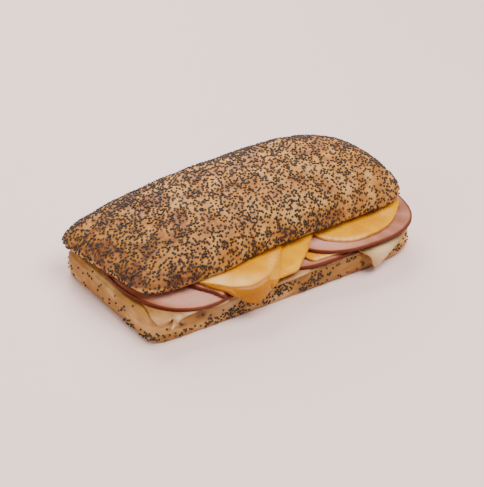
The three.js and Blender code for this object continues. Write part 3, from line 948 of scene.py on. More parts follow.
@dataclass
class Crown:
    """Upper half of the roll, from its cut face to its ridge."""

    filling_top: Callable[[np.ndarray], np.ndarray]
    half_length: float = 89.0
    half_width: float = 41.0
    centre_x: float = 4.5
    centre_y: float = 5.0
    left_squareness: float = 11.0
    right_squareness: float = 4.0
    top_squareness: float = 2.6
    left_slope: float = 0.43
    right_slope: float = 0.5
    side_slope: float = 0.7
    left_skew: float = 6.5
    ridge_height: float = 52.6
    ridge_x: float = 35.6
    ridge_fall: float = 0.00102
    lip_curl: float = 2.6
    blister_height: float = 0.45
    columns: int = 320
    rows: int = 190
    corner_crowding: float = 0.6
    cut_share: float = 0.3
    front_lip: HeightCurve = HeightCurve(
        (-85, -55, -30, -5, 20, 45, 70, 92), (23, 23.6, 25, 29, 29.8, 30.2, 30, 27)
    )
    back_lip: HeightCurve = HeightCurve((-88, -45, 0, 40, 92), (19.5, 21.5, 23, 24, 24))
    # Share of the outline, and how far the cut face settles on the filling, at steps from its middle to its rim.
    cut_steps: tuple[float, ...] = (0.0, 0.06, 0.13, 0.19, 0.24)
    cut_shares: tuple[float, ...] = (0.0, 0.28, 0.55, 0.77, 0.955)
    cut_settled: tuple[float, ...] = (1.0, 1.0, 1.0, 1.0, 0.0)
    # How far back the front is pushed, and how far it slides aside and sinks for each millimetre of that.
    push: HeightCurve = HeightCurve(
        (-88, -62, -46, -30, -5, 20, 45, 75, 92), (0.5, 2.2, 1.7, 2.5, 4.6, 4.8, 6.4, 6.4, 4)
    )
    push_aside: float = 0.635
    push_sink: float = 0.746
    # Noise on the crust: its size and its height, of which the cut face takes a share.
    unevenness: tuple[Pair, ...] = ((9.0, 0.9), (3.0, 0.5))
    cut_unevenness: float = 0.35

    def lip(self, x: np.ndarray, y: np.ndarray) -> np.ndarray:
        """Height of the widest line over a place."""
        share = np.clip((self.centre_y + self.half_width - y) / (2 * self.half_width), 0, 1)
        return blend(self.back_lip(x), self.front_lip(x), share)

    def pushed_lip(self, x: np.ndarray, y: np.ndarray) -> np.ndarray:
        """Height of the widest line once the front is pushed back.

        Args:
            x: Places along the roll.
            y: Places across it.

        Returns:
            The height over each place.
        """
        push = self.push(x)
        share = np.maximum(0.0, self.centre_y - y) / (self.half_width - push)
        return self.lip(x, y) - self.push_sink * push * share

    def curl(self, x: np.ndarray) -> np.ndarray:
        """How far the cut face lies under the widest line."""
        return self.lip_curl * blend(0.8, 1.0, ease(x, -90, -50))

    def ridge(self, x: np.ndarray) -> np.ndarray:
        """Height of the ridge."""
        return self.ridge_height - self.ridge_fall * (x - self.ridge_x) ** 2

    def blister(self, x: np.ndarray, y: np.ndarray) -> np.ndarray:
        """Shallow blisters and dips of the crust.

        Args:
            x: Places along the roll.
            y: Places across it.

        Returns:
            How far the crust rises at each place.
        """
        broad = np.sin(x / 11 + 0.8) * np.sin(y / 8.5 + 1.9)
        fine = np.sin(x / 5.5 + y / 9 + 0.4) * np.cos(y / 5 - x / 17)
        return self.blister_height * (broad + 0.6 * fine)

    def toast_and_shade(self, x: np.ndarray, y: np.ndarray, rise: np.ndarray) -> np.ndarray:
        """How brown the crust is, with painted shade added low on the front and at the left end.

        Args:
            x: Places along the roll.
            y: Places across it.
            rise: Angle from the widest line up to the ridge, in radians.

        Returns:
            The browning at each place.
        """
        # Browner towards the ridge and both ends; the darker left end is partly painted shade.
        toast_and_shade = 0.75 * ease(np.sin(rise), 0.35, 1.0) + 0.45 * ease(-x, 15, 80) + 0.3 * ease(x, 30, 90)
        # Painted shade: darker low on the front, towards the lip.
        toast_and_shade += 0.9 * (1 - ease(rise, 0.0, 0.6)) * ease(-y, 0, 25)
        # Painted shade: darker low on the left half, towards the lip.
        return toast_and_shade + 1.1 * (1 - ease(rise, 0.25, 1.0)) * ease(-x, 25, 75)

    def shape(self) -> bpy.types.Object:
        """Shapes a ball into the crown, with its cut face, and its toast and painted shade, marked.

        Returns:
            The piece.
        """
        piece, angle, step = new_ball("crown_bread", self.columns, self.rows, self.corner_crowding)
        rim_step, rim = self.cut_steps[-1], self.cut_shares[-1]
        rise = np.clip((step - self.cut_share) / (1 - self.cut_share), 0, 1) * math.pi / 2
        turn = np.clip((self.cut_share - step) / (self.cut_share - rim_step), 0, 1) * math.pi / 2
        rounded = rim + (1 - rim) * np.cos(turn)
        share = np.where(step < rim_step, np.interp(step, self.cut_steps, self.cut_shares), rounded)
        settled = np.interp(step, self.cut_steps, self.cut_settled)
        blunt = np.sin(rise) ** 1.5
        ux, uy = rounded_unit(
            angle,
            blend(self.left_squareness, self.top_squareness, blunt),
            blend(self.right_squareness, self.top_squareness, blunt),
        )
        slope = blend(self.left_slope, self.right_slope, (1 + np.cos(angle)) / 2)
        px = share * ux * np.cos(rise) ** slope
        py = share * uy * np.cos(rise) ** self.side_slope
        x = self.centre_x + self.half_length * px - self.left_skew * py * (1 - px) / 2
        y = self.centre_y + self.half_width * py
        lip = self.lip(x, y)
        free = lip + (self.ridge(x) + self.blister(x, y) - lip) * np.sin(rise) - np.sin(turn) * self.curl(x)
        pushed = self.push(x) * np.maximum(0.0, -py)
        z = blend(free - self.push_sink * pushed, np.minimum(free, self.filling_top(x)), settled)
        Bench.place(piece, np.column_stack([x + self.push_aside * pushed, y + pushed, z]))
        Bench.mark(piece, "cut", 1 - ease(step, self.cut_share - 0.035, self.cut_share - 0.015))
        Bench.mark(piece, "toast_and_shade", self.toast_and_shade(x, y, rise) * ease(step, self.cut_share, self.cut_share + 0.06))
        Bench.mark(piece, "tint_and_painted_light", np.zeros(len(x)))
        crust = piece.vertex_groups.new(name="crust")
        hold = blend(self.cut_unevenness, 1.0, ease(step, rim_step - 0.03, rim_step + 0.02))
        for index, weight in enumerate(hold.tolist()):
            crust.add([index], weight, "REPLACE")
        return piece

    def make(self, material: bpy.types.Material) -> bpy.types.Object:
        """Builds, roughens and dresses the crown.

        Args:
            material: The crust's finish.

        Returns:
            The finished piece.
        """
        piece = self.shape()
        for grain, height in self.unevenness:
            Bench.roughen(piece, grain, height, "crust")
        Bench.outward(piece)
        bpy.ops.object.shade_smooth()
        Bench.finish(piece, material, Slot.CROWN, ["crown"])
        return piece


# The filling


@dataclass(frozen=True)
class Outline:
    """Edge of a flat slice, before it is laid on the roll."""

    change_y: float = -34.0
    front_pace: float = 0.8
    back_pace: float = 3.0

    def fine(self) -> np.ndarray:
        """Closely spaced points round the edge."""
        raise NotImplementedError

    def points(self) -> np.ndarray:
        """Points round the edge, closer together where the slice shows and bends.

        Returns:
            The points, in order.
        """
        fine = self.fine()
        closed = np.vstack([fine, fine[:1]])
        length = np.linalg.norm(np.diff(closed, axis=0), axis=1)
        pace = np.where(closed[1:, 1] < self.change_y, self.front_pace, self.back_pace)
        paces = np.concatenate([[0.0], np.cumsum(length / pace)])
        count = math.ceil(paces[-1])
        wanted = np.arange(count) * paces[-1] / count
        return np.column_stack([np.interp(wanted, paces, closed[:, k]) for k in range(2)])


@dataclass(frozen=True)
class OvalOutline(Outline):
    """Oval with squared sides."""

    centre: Pair = (0.0, 0.0)
    half: Pair = (1.0, 1.0)
    squareness: float = 2.4
    fineness: int = 1200

    def fine(self) -> np.ndarray:
        """Closely spaced points round the oval.

        Returns:
            The points, in order.
        """
        angle = np.linspace(0, 2 * math.pi, self.fineness, endpoint=False)
        ux, uy = rounded_unit(angle, self.squareness, self.squareness)
        return np.column_stack([self.centre[0] + self.half[0] * ux, self.centre[1] + self.half[1] * uy])


@dataclass(frozen=True)
class CurvedOutline(Outline):
    """Smooth closed curve through places."""

    places: tuple[Pair, ...] = ()
    fineness: int = 60

    def fine(self) -> np.ndarray:
        """Closely spaced points round the curve.

        Returns:
            The points, in order.
        """
        knots = np.array(self.places, float)
        count = len(knots)
        t = np.linspace(0, 1, self.fineness, endpoint=False)[:, None]
        parts = []
        for i in range(count):
            p0, p1, p2, p3 = (knots[(i + k) % count] for k in (-1, 0, 1, 2))
            d0, d1, d2 = (max(np.linalg.norm(b - a) ** 0.5, 1e-4) for a, b in ((p0, p1), (p1, p2), (p2, p3)))
            t1 = ((p1 - p0) / d0 - (p2 - p0) / (d0 + d1) + (p2 - p1) / d1) * d1
            t2 = ((p2 - p1) / d1 - (p3 - p1) / (d1 + d2) + (p3 - p2) / d2) * d1
            parts.append(
                p1 + t1 * t + (-3 * p1 + 3 * p2 - 2 * t1 - t2) * t**2 + (2 * p1 - 2 * p2 + t1 + t2) * t**3
            )
        return np.vstack(parts)


@dataclass(frozen=True)
class CorneredOutline(Outline):
    """Straight sides with rounded corners."""

    corners: tuple[Pair, ...] = ()
    radius: float = 4.0
    corner_fineness: int = 40
    side_fineness: int = 60

    def fine(self) -> np.ndarray:
        """Closely spaced points round the corners and along the sides.

        Returns:
            The points, in order.
        """
        knots = np.array(self.corners, float)
        parts = []
        for i, corner in enumerate(knots):
            before, after = knots[i - 1], knots[(i + 1) % len(knots)]
            start = corner + (before - corner) * self.radius / np.linalg.norm(before - corner)
            stop = corner + (after - corner) * self.radius / np.linalg.norm(after - corner)
            t = np.linspace(0, 1, self.corner_fineness)[:, None]
            parts.append((1 - t) ** 2 * start + 2 * t * (1 - t) * corner + t**2 * stop)
            end = after + (corner - after) * self.radius / np.linalg.norm(corner - after)
            parts.append(stop + (end - stop) * np.linspace(0, 1, self.side_fineness)[1:-1, None])
        return np.vstack(parts)


@dataclass(frozen=True)
class Stack:
    """Thicknesses of the layers, and the heights of their middles over the heel."""

    turkey: float = 1.5
    cheese: float = 1.5
    sliver: float = 1.1
    white: float = 0.8
    clearance: float = 0.3
    ripple: float = 0.3
    # From x, to x, and how many slices high, for each step of the face that the crown rests on.
    filling_steps: tuple[Triple, ...] = (
        (-70, -58, 1.3),
        (-36, -24, 0.85),
        (-6, 3, 1.0),
        (50, 60, -1.2),
    )

    @property
    def white_level(self) -> float:
        """White slices, on the heel."""
        return self.clearance + self.white / 2

    @property
    def low_turkey(self) -> float:
        """Lower turkey slices."""
        return self.white_level + self.white / 2 + self.clearance + self.turkey / 2

    @property
    def high_turkey(self) -> float:
        """Upper turkey slice on the left."""
        return self.low_turkey + self.turkey + self.clearance

    @property
    def sliver_level(self) -> float:
        """Thin yellow slice between the turkey slices."""
        return self.low_turkey + self.turkey / 2 + self.clearance + self.sliver / 2

    @property
    def right_turkey(self) -> float:
        """Upper turkey slice on the right."""
        return self.sliver_level + self.sliver / 2 + self.clearance + self.turkey / 2

    @property
    def right_cheese(self) -> float:
        """Yellow slice on the right."""
        return self.right_turkey + self.turkey / 2 + self.clearance + self.cheese / 2

    @property
    def side_cheese(self) -> float:
        """Yellow slices in the middle, where they lie on the upper turkey slice."""
        return self.high_turkey + self.turkey / 2 + self.clearance + self.cheese / 2

    def stepped(self, base: float, steps: Sequence[Triple], x: np.ndarray) -> np.ndarray:
        """Level of a slice that steps up over others.

        Args:
            base: Its lowest level.
            steps: From x, to x, and how many slices high, for each step.
            x: Places along the roll.

        Returns:
            The level at each place.
        """
        high = self.cheese + self.clearance
        rises = (rise * high * ease(x, start, stop) for start, stop, rise in steps)
        return base + sum(rises) + np.zeros(np.shape(x))

    def top(self, x: np.ndarray) -> np.ndarray:
        """Height over the heel at which the crown rests."""
        turkey_top = self.high_turkey + self.turkey / 2 + self.ripple + self.clearance
        return self.stepped(turkey_top, self.filling_steps, x)


@dataclass(frozen=True)
class EdgeBend:
    """Bend of a slice down over the heel's front edge."""

    start: float = -44.6
    radius: float = 4.85
    widens: bool = True

    def inner(self, x: np.ndarray, out: np.ndarray) -> np.ndarray:
        """Share by which each flat point lies behind the bend: everywhere, for a plain one."""
        return np.ones(len(x))

    def over(self, x: np.ndarray, out: np.ndarray, level: np.ndarray) -> tuple[np.ndarray, np.ndarray]:
        """Bends flat points.

        Args:
            x: Places along the roll.
            out: Places across it, the front at the low end.
            level: Height of the slice over the heel.

        Returns:
            How far out and how far down each point ends.
        """
        radius = self.radius + level * self.widens
        past = np.maximum(0.0, self.start - out)
        angle = np.minimum(past / radius, math.pi / 2)
        hanging = past - radius * angle
        bent = np.maximum(out, self.start) - radius * np.sin(angle) - hanging * np.cos(angle)
        return bent, radius * (1 - np.cos(angle)) + hanging * np.sin(angle)


@dataclass(frozen=True)
class Crease(EdgeBend):
    """Fold along a curved crease: the slice falls from it, then turns down in front."""

    start: float = -49.6
    radius: float = 2.4
    line: HeightCurve = HeightCurve(
        (-51, -41, -35, -26, -17, -6, 4, 12), (-30, -38.5, -45, -49.3, -49, -42.6, -33, -24)
    )
    first_radius: float = 2.6
    # Fall in degrees at the left, in the middle and at the right, and where it changes along the roll.
    falls: Triple = (8.0, 90.0, 7.0)
    steepens: Pair = (-38.0, -31.0)
    flattens: Pair = (-19.0, -11.0)

    def inner(self, x: np.ndarray, out: np.ndarray) -> np.ndarray:
        """Share by which each flat point lies behind the crease."""
        return ease(out - self.line(x), -0.6, 1.4)

    def over(self, x: np.ndarray, out: np.ndarray, level: np.ndarray) -> tuple[np.ndarray, np.ndarray]:
        """Folds flat points.

        Args:
            x: Places along the roll.
            out: Places across it, the front at the low end.
            level: Height of the slice over the heel, unused here.

        Returns:
            How far out and how far down each point ends.
        """
        left, middle, right = self.falls
        fall = left + (middle - left) * ease(x, *self.steepens) - (middle - right) * ease(x, *self.flattens)
        slope = np.radians(fall)
        start = self.line(x)
        past = np.maximum(0.0, start - out)
        first = np.minimum(past / self.first_radius, slope)
        edge = start - self.first_radius * np.sin(first)
        straight = past - self.first_radius * first
        reach = np.maximum(0.0, edge - self.start) / np.maximum(np.cos(slope), 1e-6)
        sloping = np.minimum(straight, reach)
        turned = np.minimum(np.maximum(0.0, straight - reach) / self.radius, math.pi / 2 - slope)
        angle = first + turned
        hanging = np.maximum(0.0, straight - reach - self.radius * turned)
        bent = np.maximum(out, start) - (start - edge) - sloping * np.cos(first)
        bent -= self.radius * (np.sin(angle) - np.sin(first))
        down = self.first_radius * (1 - np.cos(first)) + sloping * np.sin(first)
        return bent, down + self.radius * (np.cos(first) - np.cos(angle)) + hanging


@dataclass
class Cut:
    """One slice: how it is cut, where it lies and how it bends over the heel's front edge."""

    node: str
    outline: Outline
    middle: Pair
    level: float
    thickness: float
    slot: Slot
    steps: tuple[Triple, ...] = ()
    turn: float = 0.0
    bend: EdgeBend = EdgeBend()
    # Place along and across the roll, reach and strength of each tinted spot; some spots are the slice's own colour,
    # others painted highlight and painted shade.
    tint_and_light_spots: tuple[tuple[float, float, float, float], ...] = ()
    wave_size: float = 7.0
    waviness: float = 0.16
    # How much of the painted shade on the folded flap goes, and between which places along the roll.
    fold_shade_fade: float = 0.6
    fold_shade_fades: Pair = (-30.0, -2.0)
    edge_round: float = 0.3
    edge_segments: int = 3
    edge_angle: float = 55.0
    # How far each ring of edges lies inside the outline, and how many more there are from inner_gap further in
    # to the inmost, whose size is a share of the outline's.
    insets: tuple[float, ...] = (0.35, 0.5, 0.7, 0.9, 1.1, 1.3, 1.5, 1.8, 2.1, 2.5, 3, 3.5, 4, 5, 6, 7, 8, 9, 10)
    inner_rings: int = 7
    inner_gap: float = 4.0
    inmost: float = 0.12

    def lay(self, flat: np.ndarray, stack: Stack, heel: Heel) -> np.ndarray:
        """Lays flat points on the stack and bends them over the front edge.

        Args:
            flat: Points of the flat slice, in millimetres.
            stack: The layers' heights.
            heel: The heel under them.

        Returns:
            The points' places in the roll's axes.
        """
        x, y = flat[:, 0], flat[:, 1]
        level = stack.stepped(self.level, self.steps, x)
        c, s = math.cos(self.turn), math.sin(self.turn)
        along, out = x * c + y * s, y * c - x * s
        bent, fall = self.bend.over(x, out, level)
        ripple = stack.ripple * (1 + np.sin(x / 12 + 0.6) * np.cos(y / 15)) / 2
        return np.column_stack([along * c - bent * s, along * s + bent * c, heel.top(x) + level + ripple - fall])

    def sheet(self, edge: np.ndarray) -> bpy.types.Object:
        """Fills the outline with rings of edges, one inside the other, that meet in the middle.

        Args:
            edge: Points of the outline.

        Returns:
            The flat piece, with no thickness.
        """
        Bench.clear()
        bpy.ops.mesh.primitive_circle_add(vertices=len(edge), radius=1.0, fill_type="NOTHING")
        piece = Bench.name(bpy.context.object, f"{self.node}_slice")
        Bench.place(piece, np.column_stack([edge, np.zeros(len(edge))]))
        centre = (Vector((*self.middle, 0.0)) + Vector(ROLL_ORIGIN)) * MM
        reach = np.linalg.norm(edge - np.array(self.middle), axis=1).mean()
        deepest = max(self.insets) + self.inner_gap
        rings = [1 - inset / reach for inset in self.insets]
        rings += list(np.linspace(1 - deepest / reach, self.inmost, self.inner_rings))
        bpy.ops.object.mode_set(mode="EDIT")
        bpy.ops.mesh.select_all(action="SELECT")
        last = 1.0
        for ring in rings:
            bpy.ops.mesh.extrude_edges_move()
            bpy.ops.transform.resize(value=(ring / last, ring / last, 1.0), center_override=centre)
            last = ring
        bpy.ops.mesh.merge(type="CENTER")
        bpy.ops.object.mode_set(mode="OBJECT")
        return piece

    def mark(self, piece: bpy.types.Object, flat: np.ndarray, edge: np.ndarray) -> None:
        """Marks the slice's rim, its spots of tint and painted light, and the painted shade on its folded flap.

        Args:
            piece: The flat piece.
            flat: Its points, in millimetres.
            edge: Points of the outline.
        """
        Bench.mark(piece, "rim", distance_to_edge(flat, edge))
        tint_and_painted_light = np.zeros(len(flat))
        for x, y, reach, strength in self.tint_and_light_spots:
            away = ((flat - (x, y)) ** 2).sum(1)
            tint_and_painted_light = np.maximum(tint_and_painted_light, strength * np.exp(-away / reach**2))
        inner = self.bend.inner(flat[:, 0], flat[:, 1])
        Bench.mark(piece, "tint_and_painted_light", tint_and_painted_light * inner)
        Bench.mark(piece, "fold_shade", (1 - inner) * (1 - self.fold_shade_fade * ease(flat[:, 0], *self.fold_shade_fades)))

    def make(self, stack: Stack, heel: Heel, material: bpy.types.Material) -> bpy.types.Object:
        """Cuts, lays, thickens and dresses the slice.

        Args:
            stack: The layers' heights.
            heel: The heel under them.
            material: The slice's finish.

        Returns:
            The finished piece.
        """
        edge = self.outline.points()
        piece = self.sheet(edge)
        flat = Bench.points(piece)[:, :2]
        self.mark(piece, flat, edge)
        Bench.place(piece, self.lay(flat, stack, heel))
        Bench.change(piece, "SOLIDIFY", thickness=self.thickness * MM, offset=0.0, use_even_offset=False)
        Bench.outward(piece)
        Bench.change(
            piece,
            "BEVEL",
            width=self.edge_round * MM,
            segments=self.edge_segments,
            limit_method="ANGLE",
            angle_limit=math.radians(self.edge_angle),
        )
        Bench.roughen(piece, self.wave_size, self.waviness)
        bpy.ops.object.shade_smooth()
        Bench.finish(piece, material, self.slot, [self.node])
        return piece


def distance_to_edge(points: np.ndarray, edge: np.ndarray) -> np.ndarray:
    """Distance from each flat point to a closed edge.

    Args:
        points: Flat points.
        edge: Points round the edge.

    Returns:
        The distance of each point.
    """
    start, stop = edge, np.roll(edge, -1, axis=0)
    side = stop - start
    away = points[:, None, :] - start[None]
    share = np.clip((away * side).sum(2) / np.maximum((side**2).sum(1), 1e-9), 0, 1)
    return np.linalg.norm(away - share[..., None] * side, axis=2).min(1)


@dataclass
class Filling:
    """Turkey and cheese slices between the halves of the roll."""

    stack: Stack
    heel: Heel
    white_bend: EdgeBend = EdgeBend(-45.3, 2.9, False)
    right_white_bend: EdgeBend = EdgeBend(-60.0, 2.9, False)

    def white_slices(self) -> list[Cut]:
        """White slices on the heel.

        Returns:
            The slices, from left to right.
        """
        level, thick = self.stack.white_level, self.stack.white
        common = {"level": level, "thickness": thick, "slot": Slot.WHITE, "edge_round": 0.22}
        return [
            Cut(
                "white_cheese_left",
                CurvedOutline(
                    front_pace=0.5,
                    places=(
                        (-78.5, -36), (-80, -43.5), (-79.4, -48), (-77.6, -49.5), (-74.5, -48.4), (-71.9, -47.6),
                        (-70.3, -47.1), (-70.7, -48.7), (-71.4, -50.8), (-72.1, -52.8), (-71.1, -52.2), (-69.6, -50.4),
                        (-67.5, -49), (-63, -48), (-53, -47.4), (-40, -48.2), (-36.5, -46), (-42, -15),
                        (-55, 10), (-70, 5),
                    ),
                ),
                (-60, -25), **common, bend=self.white_bend,
                tint_and_light_spots=((-71.5, -51.5, 2.4, 0.9), (-67, -48.5, 2.2, 0.5), (-60, -47, 4.0, 0.3)),
            ),
            Cut(
                "white_cheese_middle",
                CorneredOutline(corners=((-27, -49), (15, -47.2), (12, 25), (-24, 25)), radius=5),
                (-7, -12), **common, bend=self.white_bend, tint_and_light_spots=((5, -47, 10.0, 0.15),),
            ),
            Cut(
                "white_cheese_right",
                CorneredOutline(
                    corners=(
                        (46.3, -42), (47.6, -49.5), (53.6, -58.6), (57.3, -58.6), (80, -41), (79, 10), (49, 15)
                    ),
                    radius=1.8,
                ),
                (64.5, -18), **common, turn=0.25, bend=self.right_white_bend,
                tint_and_light_spots=((62, -48, 12.0, 0.75),),
            ),
        ]

    def turkey_slices(self) -> list[Cut]:
        """Turkey slices.

        Returns:
            The slices, the lower ones first.
        """
        stack = self.stack
        common = {"thickness": stack.turkey, "slot": Slot.TURKEY}
        return [
            Cut(
                "turkey_left_lower",
                OvalOutline(centre=(-48, -1.5), half=(34, 47), squareness=2.4),
                (-48, -4), level=stack.low_turkey, **common,
                # Smoky darkening at the left end, partly painted shade under the crown's lip.
                tint_and_light_spots=((-80, -25, 9.0, 0.9), (-76, -34, 6.0, 0.8), (-71, -40, 4.0, 0.5)),
            ),
            Cut(
                "turkey_right_lower",
                OvalOutline(centre=(27, -3), half=(39.5, 44), squareness=2.4),
                (27, -3), level=stack.low_turkey, **common,
                tint_and_light_spots=((12, -46, 9.0, 0.45), (24, -47, 8.0, 0.45), (36, -46, 8.0, 0.5), (46, -44, 8.0, 0.6)),
            ),
            Cut(
                "turkey_left_upper",
                CurvedOutline(
                    places=(
                        (-82, 4), (-80, -5), (-78.3, -14), (-75, -20.5), (-66, -23.5), (-56, -25.5), (-51, -30.5),
                        (-47.3, -36), (-43.7, -41.6), (-40.5, -47.7), (-34, -42.5), (-10, -42), (10, -34), (12, 0),
                        (4, 28), (-30, 38), (-58, 32), (-74, 17),
                    ),
                ),
                (-35, -2), level=stack.high_turkey, **common,
                # Smoky darkening at the left end, partly painted shade under the crown's lip.
                tint_and_light_spots=((-80, -8, 12.0, 1.0), (-74, -20, 7.0, 0.9), (-66, -24, 6.0, 0.8)),
            ),
            Cut(
                "turkey_right_upper",
                OvalOutline(centre=(54.7, -2), half=(41.6, 47), squareness=2.8),
                (54.7, -2), level=stack.right_turkey, **common,
                tint_and_light_spots=(
                    (44, -46.5, 6.0, 0.35), (52, -47, 7.0, 0.65), (62, -46, 7.0, 0.8), (71, -43.5, 8.0, 0.85),
                    (80, -39, 10.0, 0.95), (91, -26, 13.0, 1.0), (96, -4, 13.0, 1.0),
                ),
            ),
        ]

    def yellow_slices(self) -> list[Cut]:
        """Yellow slices.

        Returns:
            The slices, the lowest first.
        """
        stack = self.stack
        common = {"thickness": stack.cheese, "slot": Slot.YELLOW}
        return [
            Cut(
                "cheese_sliver",
                CorneredOutline(corners=((16, -43.5), (44, -44.5), (52, -20), (40, 30), (18, 28)), radius=5),
                (34, -12), level=stack.sliver_level, thickness=stack.sliver, slot=Slot.YELLOW,
                tint_and_light_spots=(
                    (20, -43.8, 2.2, 0.7), (23.5, -44, 2.2, 0.75), (27, -44.1, 2.2, 0.75), (30.5, -44.2, 2.2, 0.75),
                    (34, -44.3, 2.2, 0.7), (37.5, -44.4, 2.2, 0.6), (41, -44.5, 2.2, 0.5),
                ),
            ),
            Cut(
                "cheese_right",
                CurvedOutline(
                    places=(
                        (30, -29.5), (36, -37.6), (43.5, -42.4), (53, -43.4), (66, -41.5), (75, -37), (84, -29.5),
                        (91, -21), (88, 0), (74, 26), (45, 30), (31, 10),
                    ),
                ),
                (60, -12), level=stack.right_cheese, **common,
                # Paler melted rim along the lower-left edge, partly painted highlight.
                tint_and_light_spots=(
                    (31, -31.5, 2.4, 0.5), (33.5, -34.8, 2.4, 0.6), (36.2, -37.8, 2.4, 0.7), (39.5, -40.2, 2.4, 0.7),
                    (43, -41.9, 2.4, 0.7), (46.8, -42.8, 2.4, 0.6), (50.5, -43.2, 2.4, 0.4), (76, -28, 5.0, 0.2),
                ),
            ),
            Cut(
                "cheese_side",
                CorneredOutline(
                    corners=(
                        (5, -48.5), (14.9, -40.6), (24.1, -32), (32.4, -23), (42, -14), (26, 20), (-11, 22),
                        (-11, -49.5),
                    ),
                    radius=3,
                ),
                (10, -14), level=stack.side_cheese, steps=((3, 11, 0.9), (16, 24, 1.0)), **common,
            ),
            Cut(
                "cheese_folded",
                CurvedOutline(
                    front_pace=0.6,
                    change_y=-20.0,
                    places=(
                        (-45.5, -34), (-39, -45.5), (-33.5, -52), (-28, -58), (-23, -60.2), (-17, -58), (-10, -52),
                        (-4.5, -45.5), (2, -36.5), (8.5, -25.5), (11, -10), (0, 12), (-14, 18), (-36, 0), (-45, -20),
                    ),
                ),
                (-18, -19), level=stack.side_cheese + 0.45, steps=((-26, -15, 0.85), (2, 10, 0.95)),
                bend=Crease(), **common,
                insets=(
                    0.35, 0.5, 0.7, 0.9, 1.2, 1.5, 1.8, 2.2, 2.6, 3, 3.5, 4, 4.6, 5.2, 5.8, 6.4, 7, 7.6, 8.2, 8.8,
                    9.4, 10, 10.7, 11.4, 12.2, 13, 14, 15, 16.5, 18,
                ),
                # The first spots are the upper face's cream, partly painted light; the others are a painted highlight
                # streak along the crease.
                tint_and_light_spots=(
                    (-38, -38, 7.5, 0.9), (-29, -44, 6.0, 0.6), (-21, -45.5, 3.0, 0.3), (-9, -42, 2.1, 0.25),
                    (-6.5, -39.5, 2.1, 0.4), (-4, -36.8, 2.1, 0.5), (-1.5, -34, 2.1, 0.4), (1, -31, 2.1, 0.25),
                ),
            ),
        ]

    def make(self, finishes: dict[Slot, bpy.types.Material]) -> list[bpy.types.Object]:
        """Makes every slice from the lowest up.

        Args:
            finishes: The material of each kind of slice.

        Returns:
            The finished pieces.
        """
        cuts = self.white_slices() + self.turkey_slices() + self.yellow_slices()
        return [cut.make(self.stack, self.heel, finishes[cut.slot]) for cut in cuts]


# Seeds


@dataclass(frozen=True)
class Clump:
    """Place where seeds lie close together."""

    x: float
    y: float
    z: float
    reach: float
    strength: float


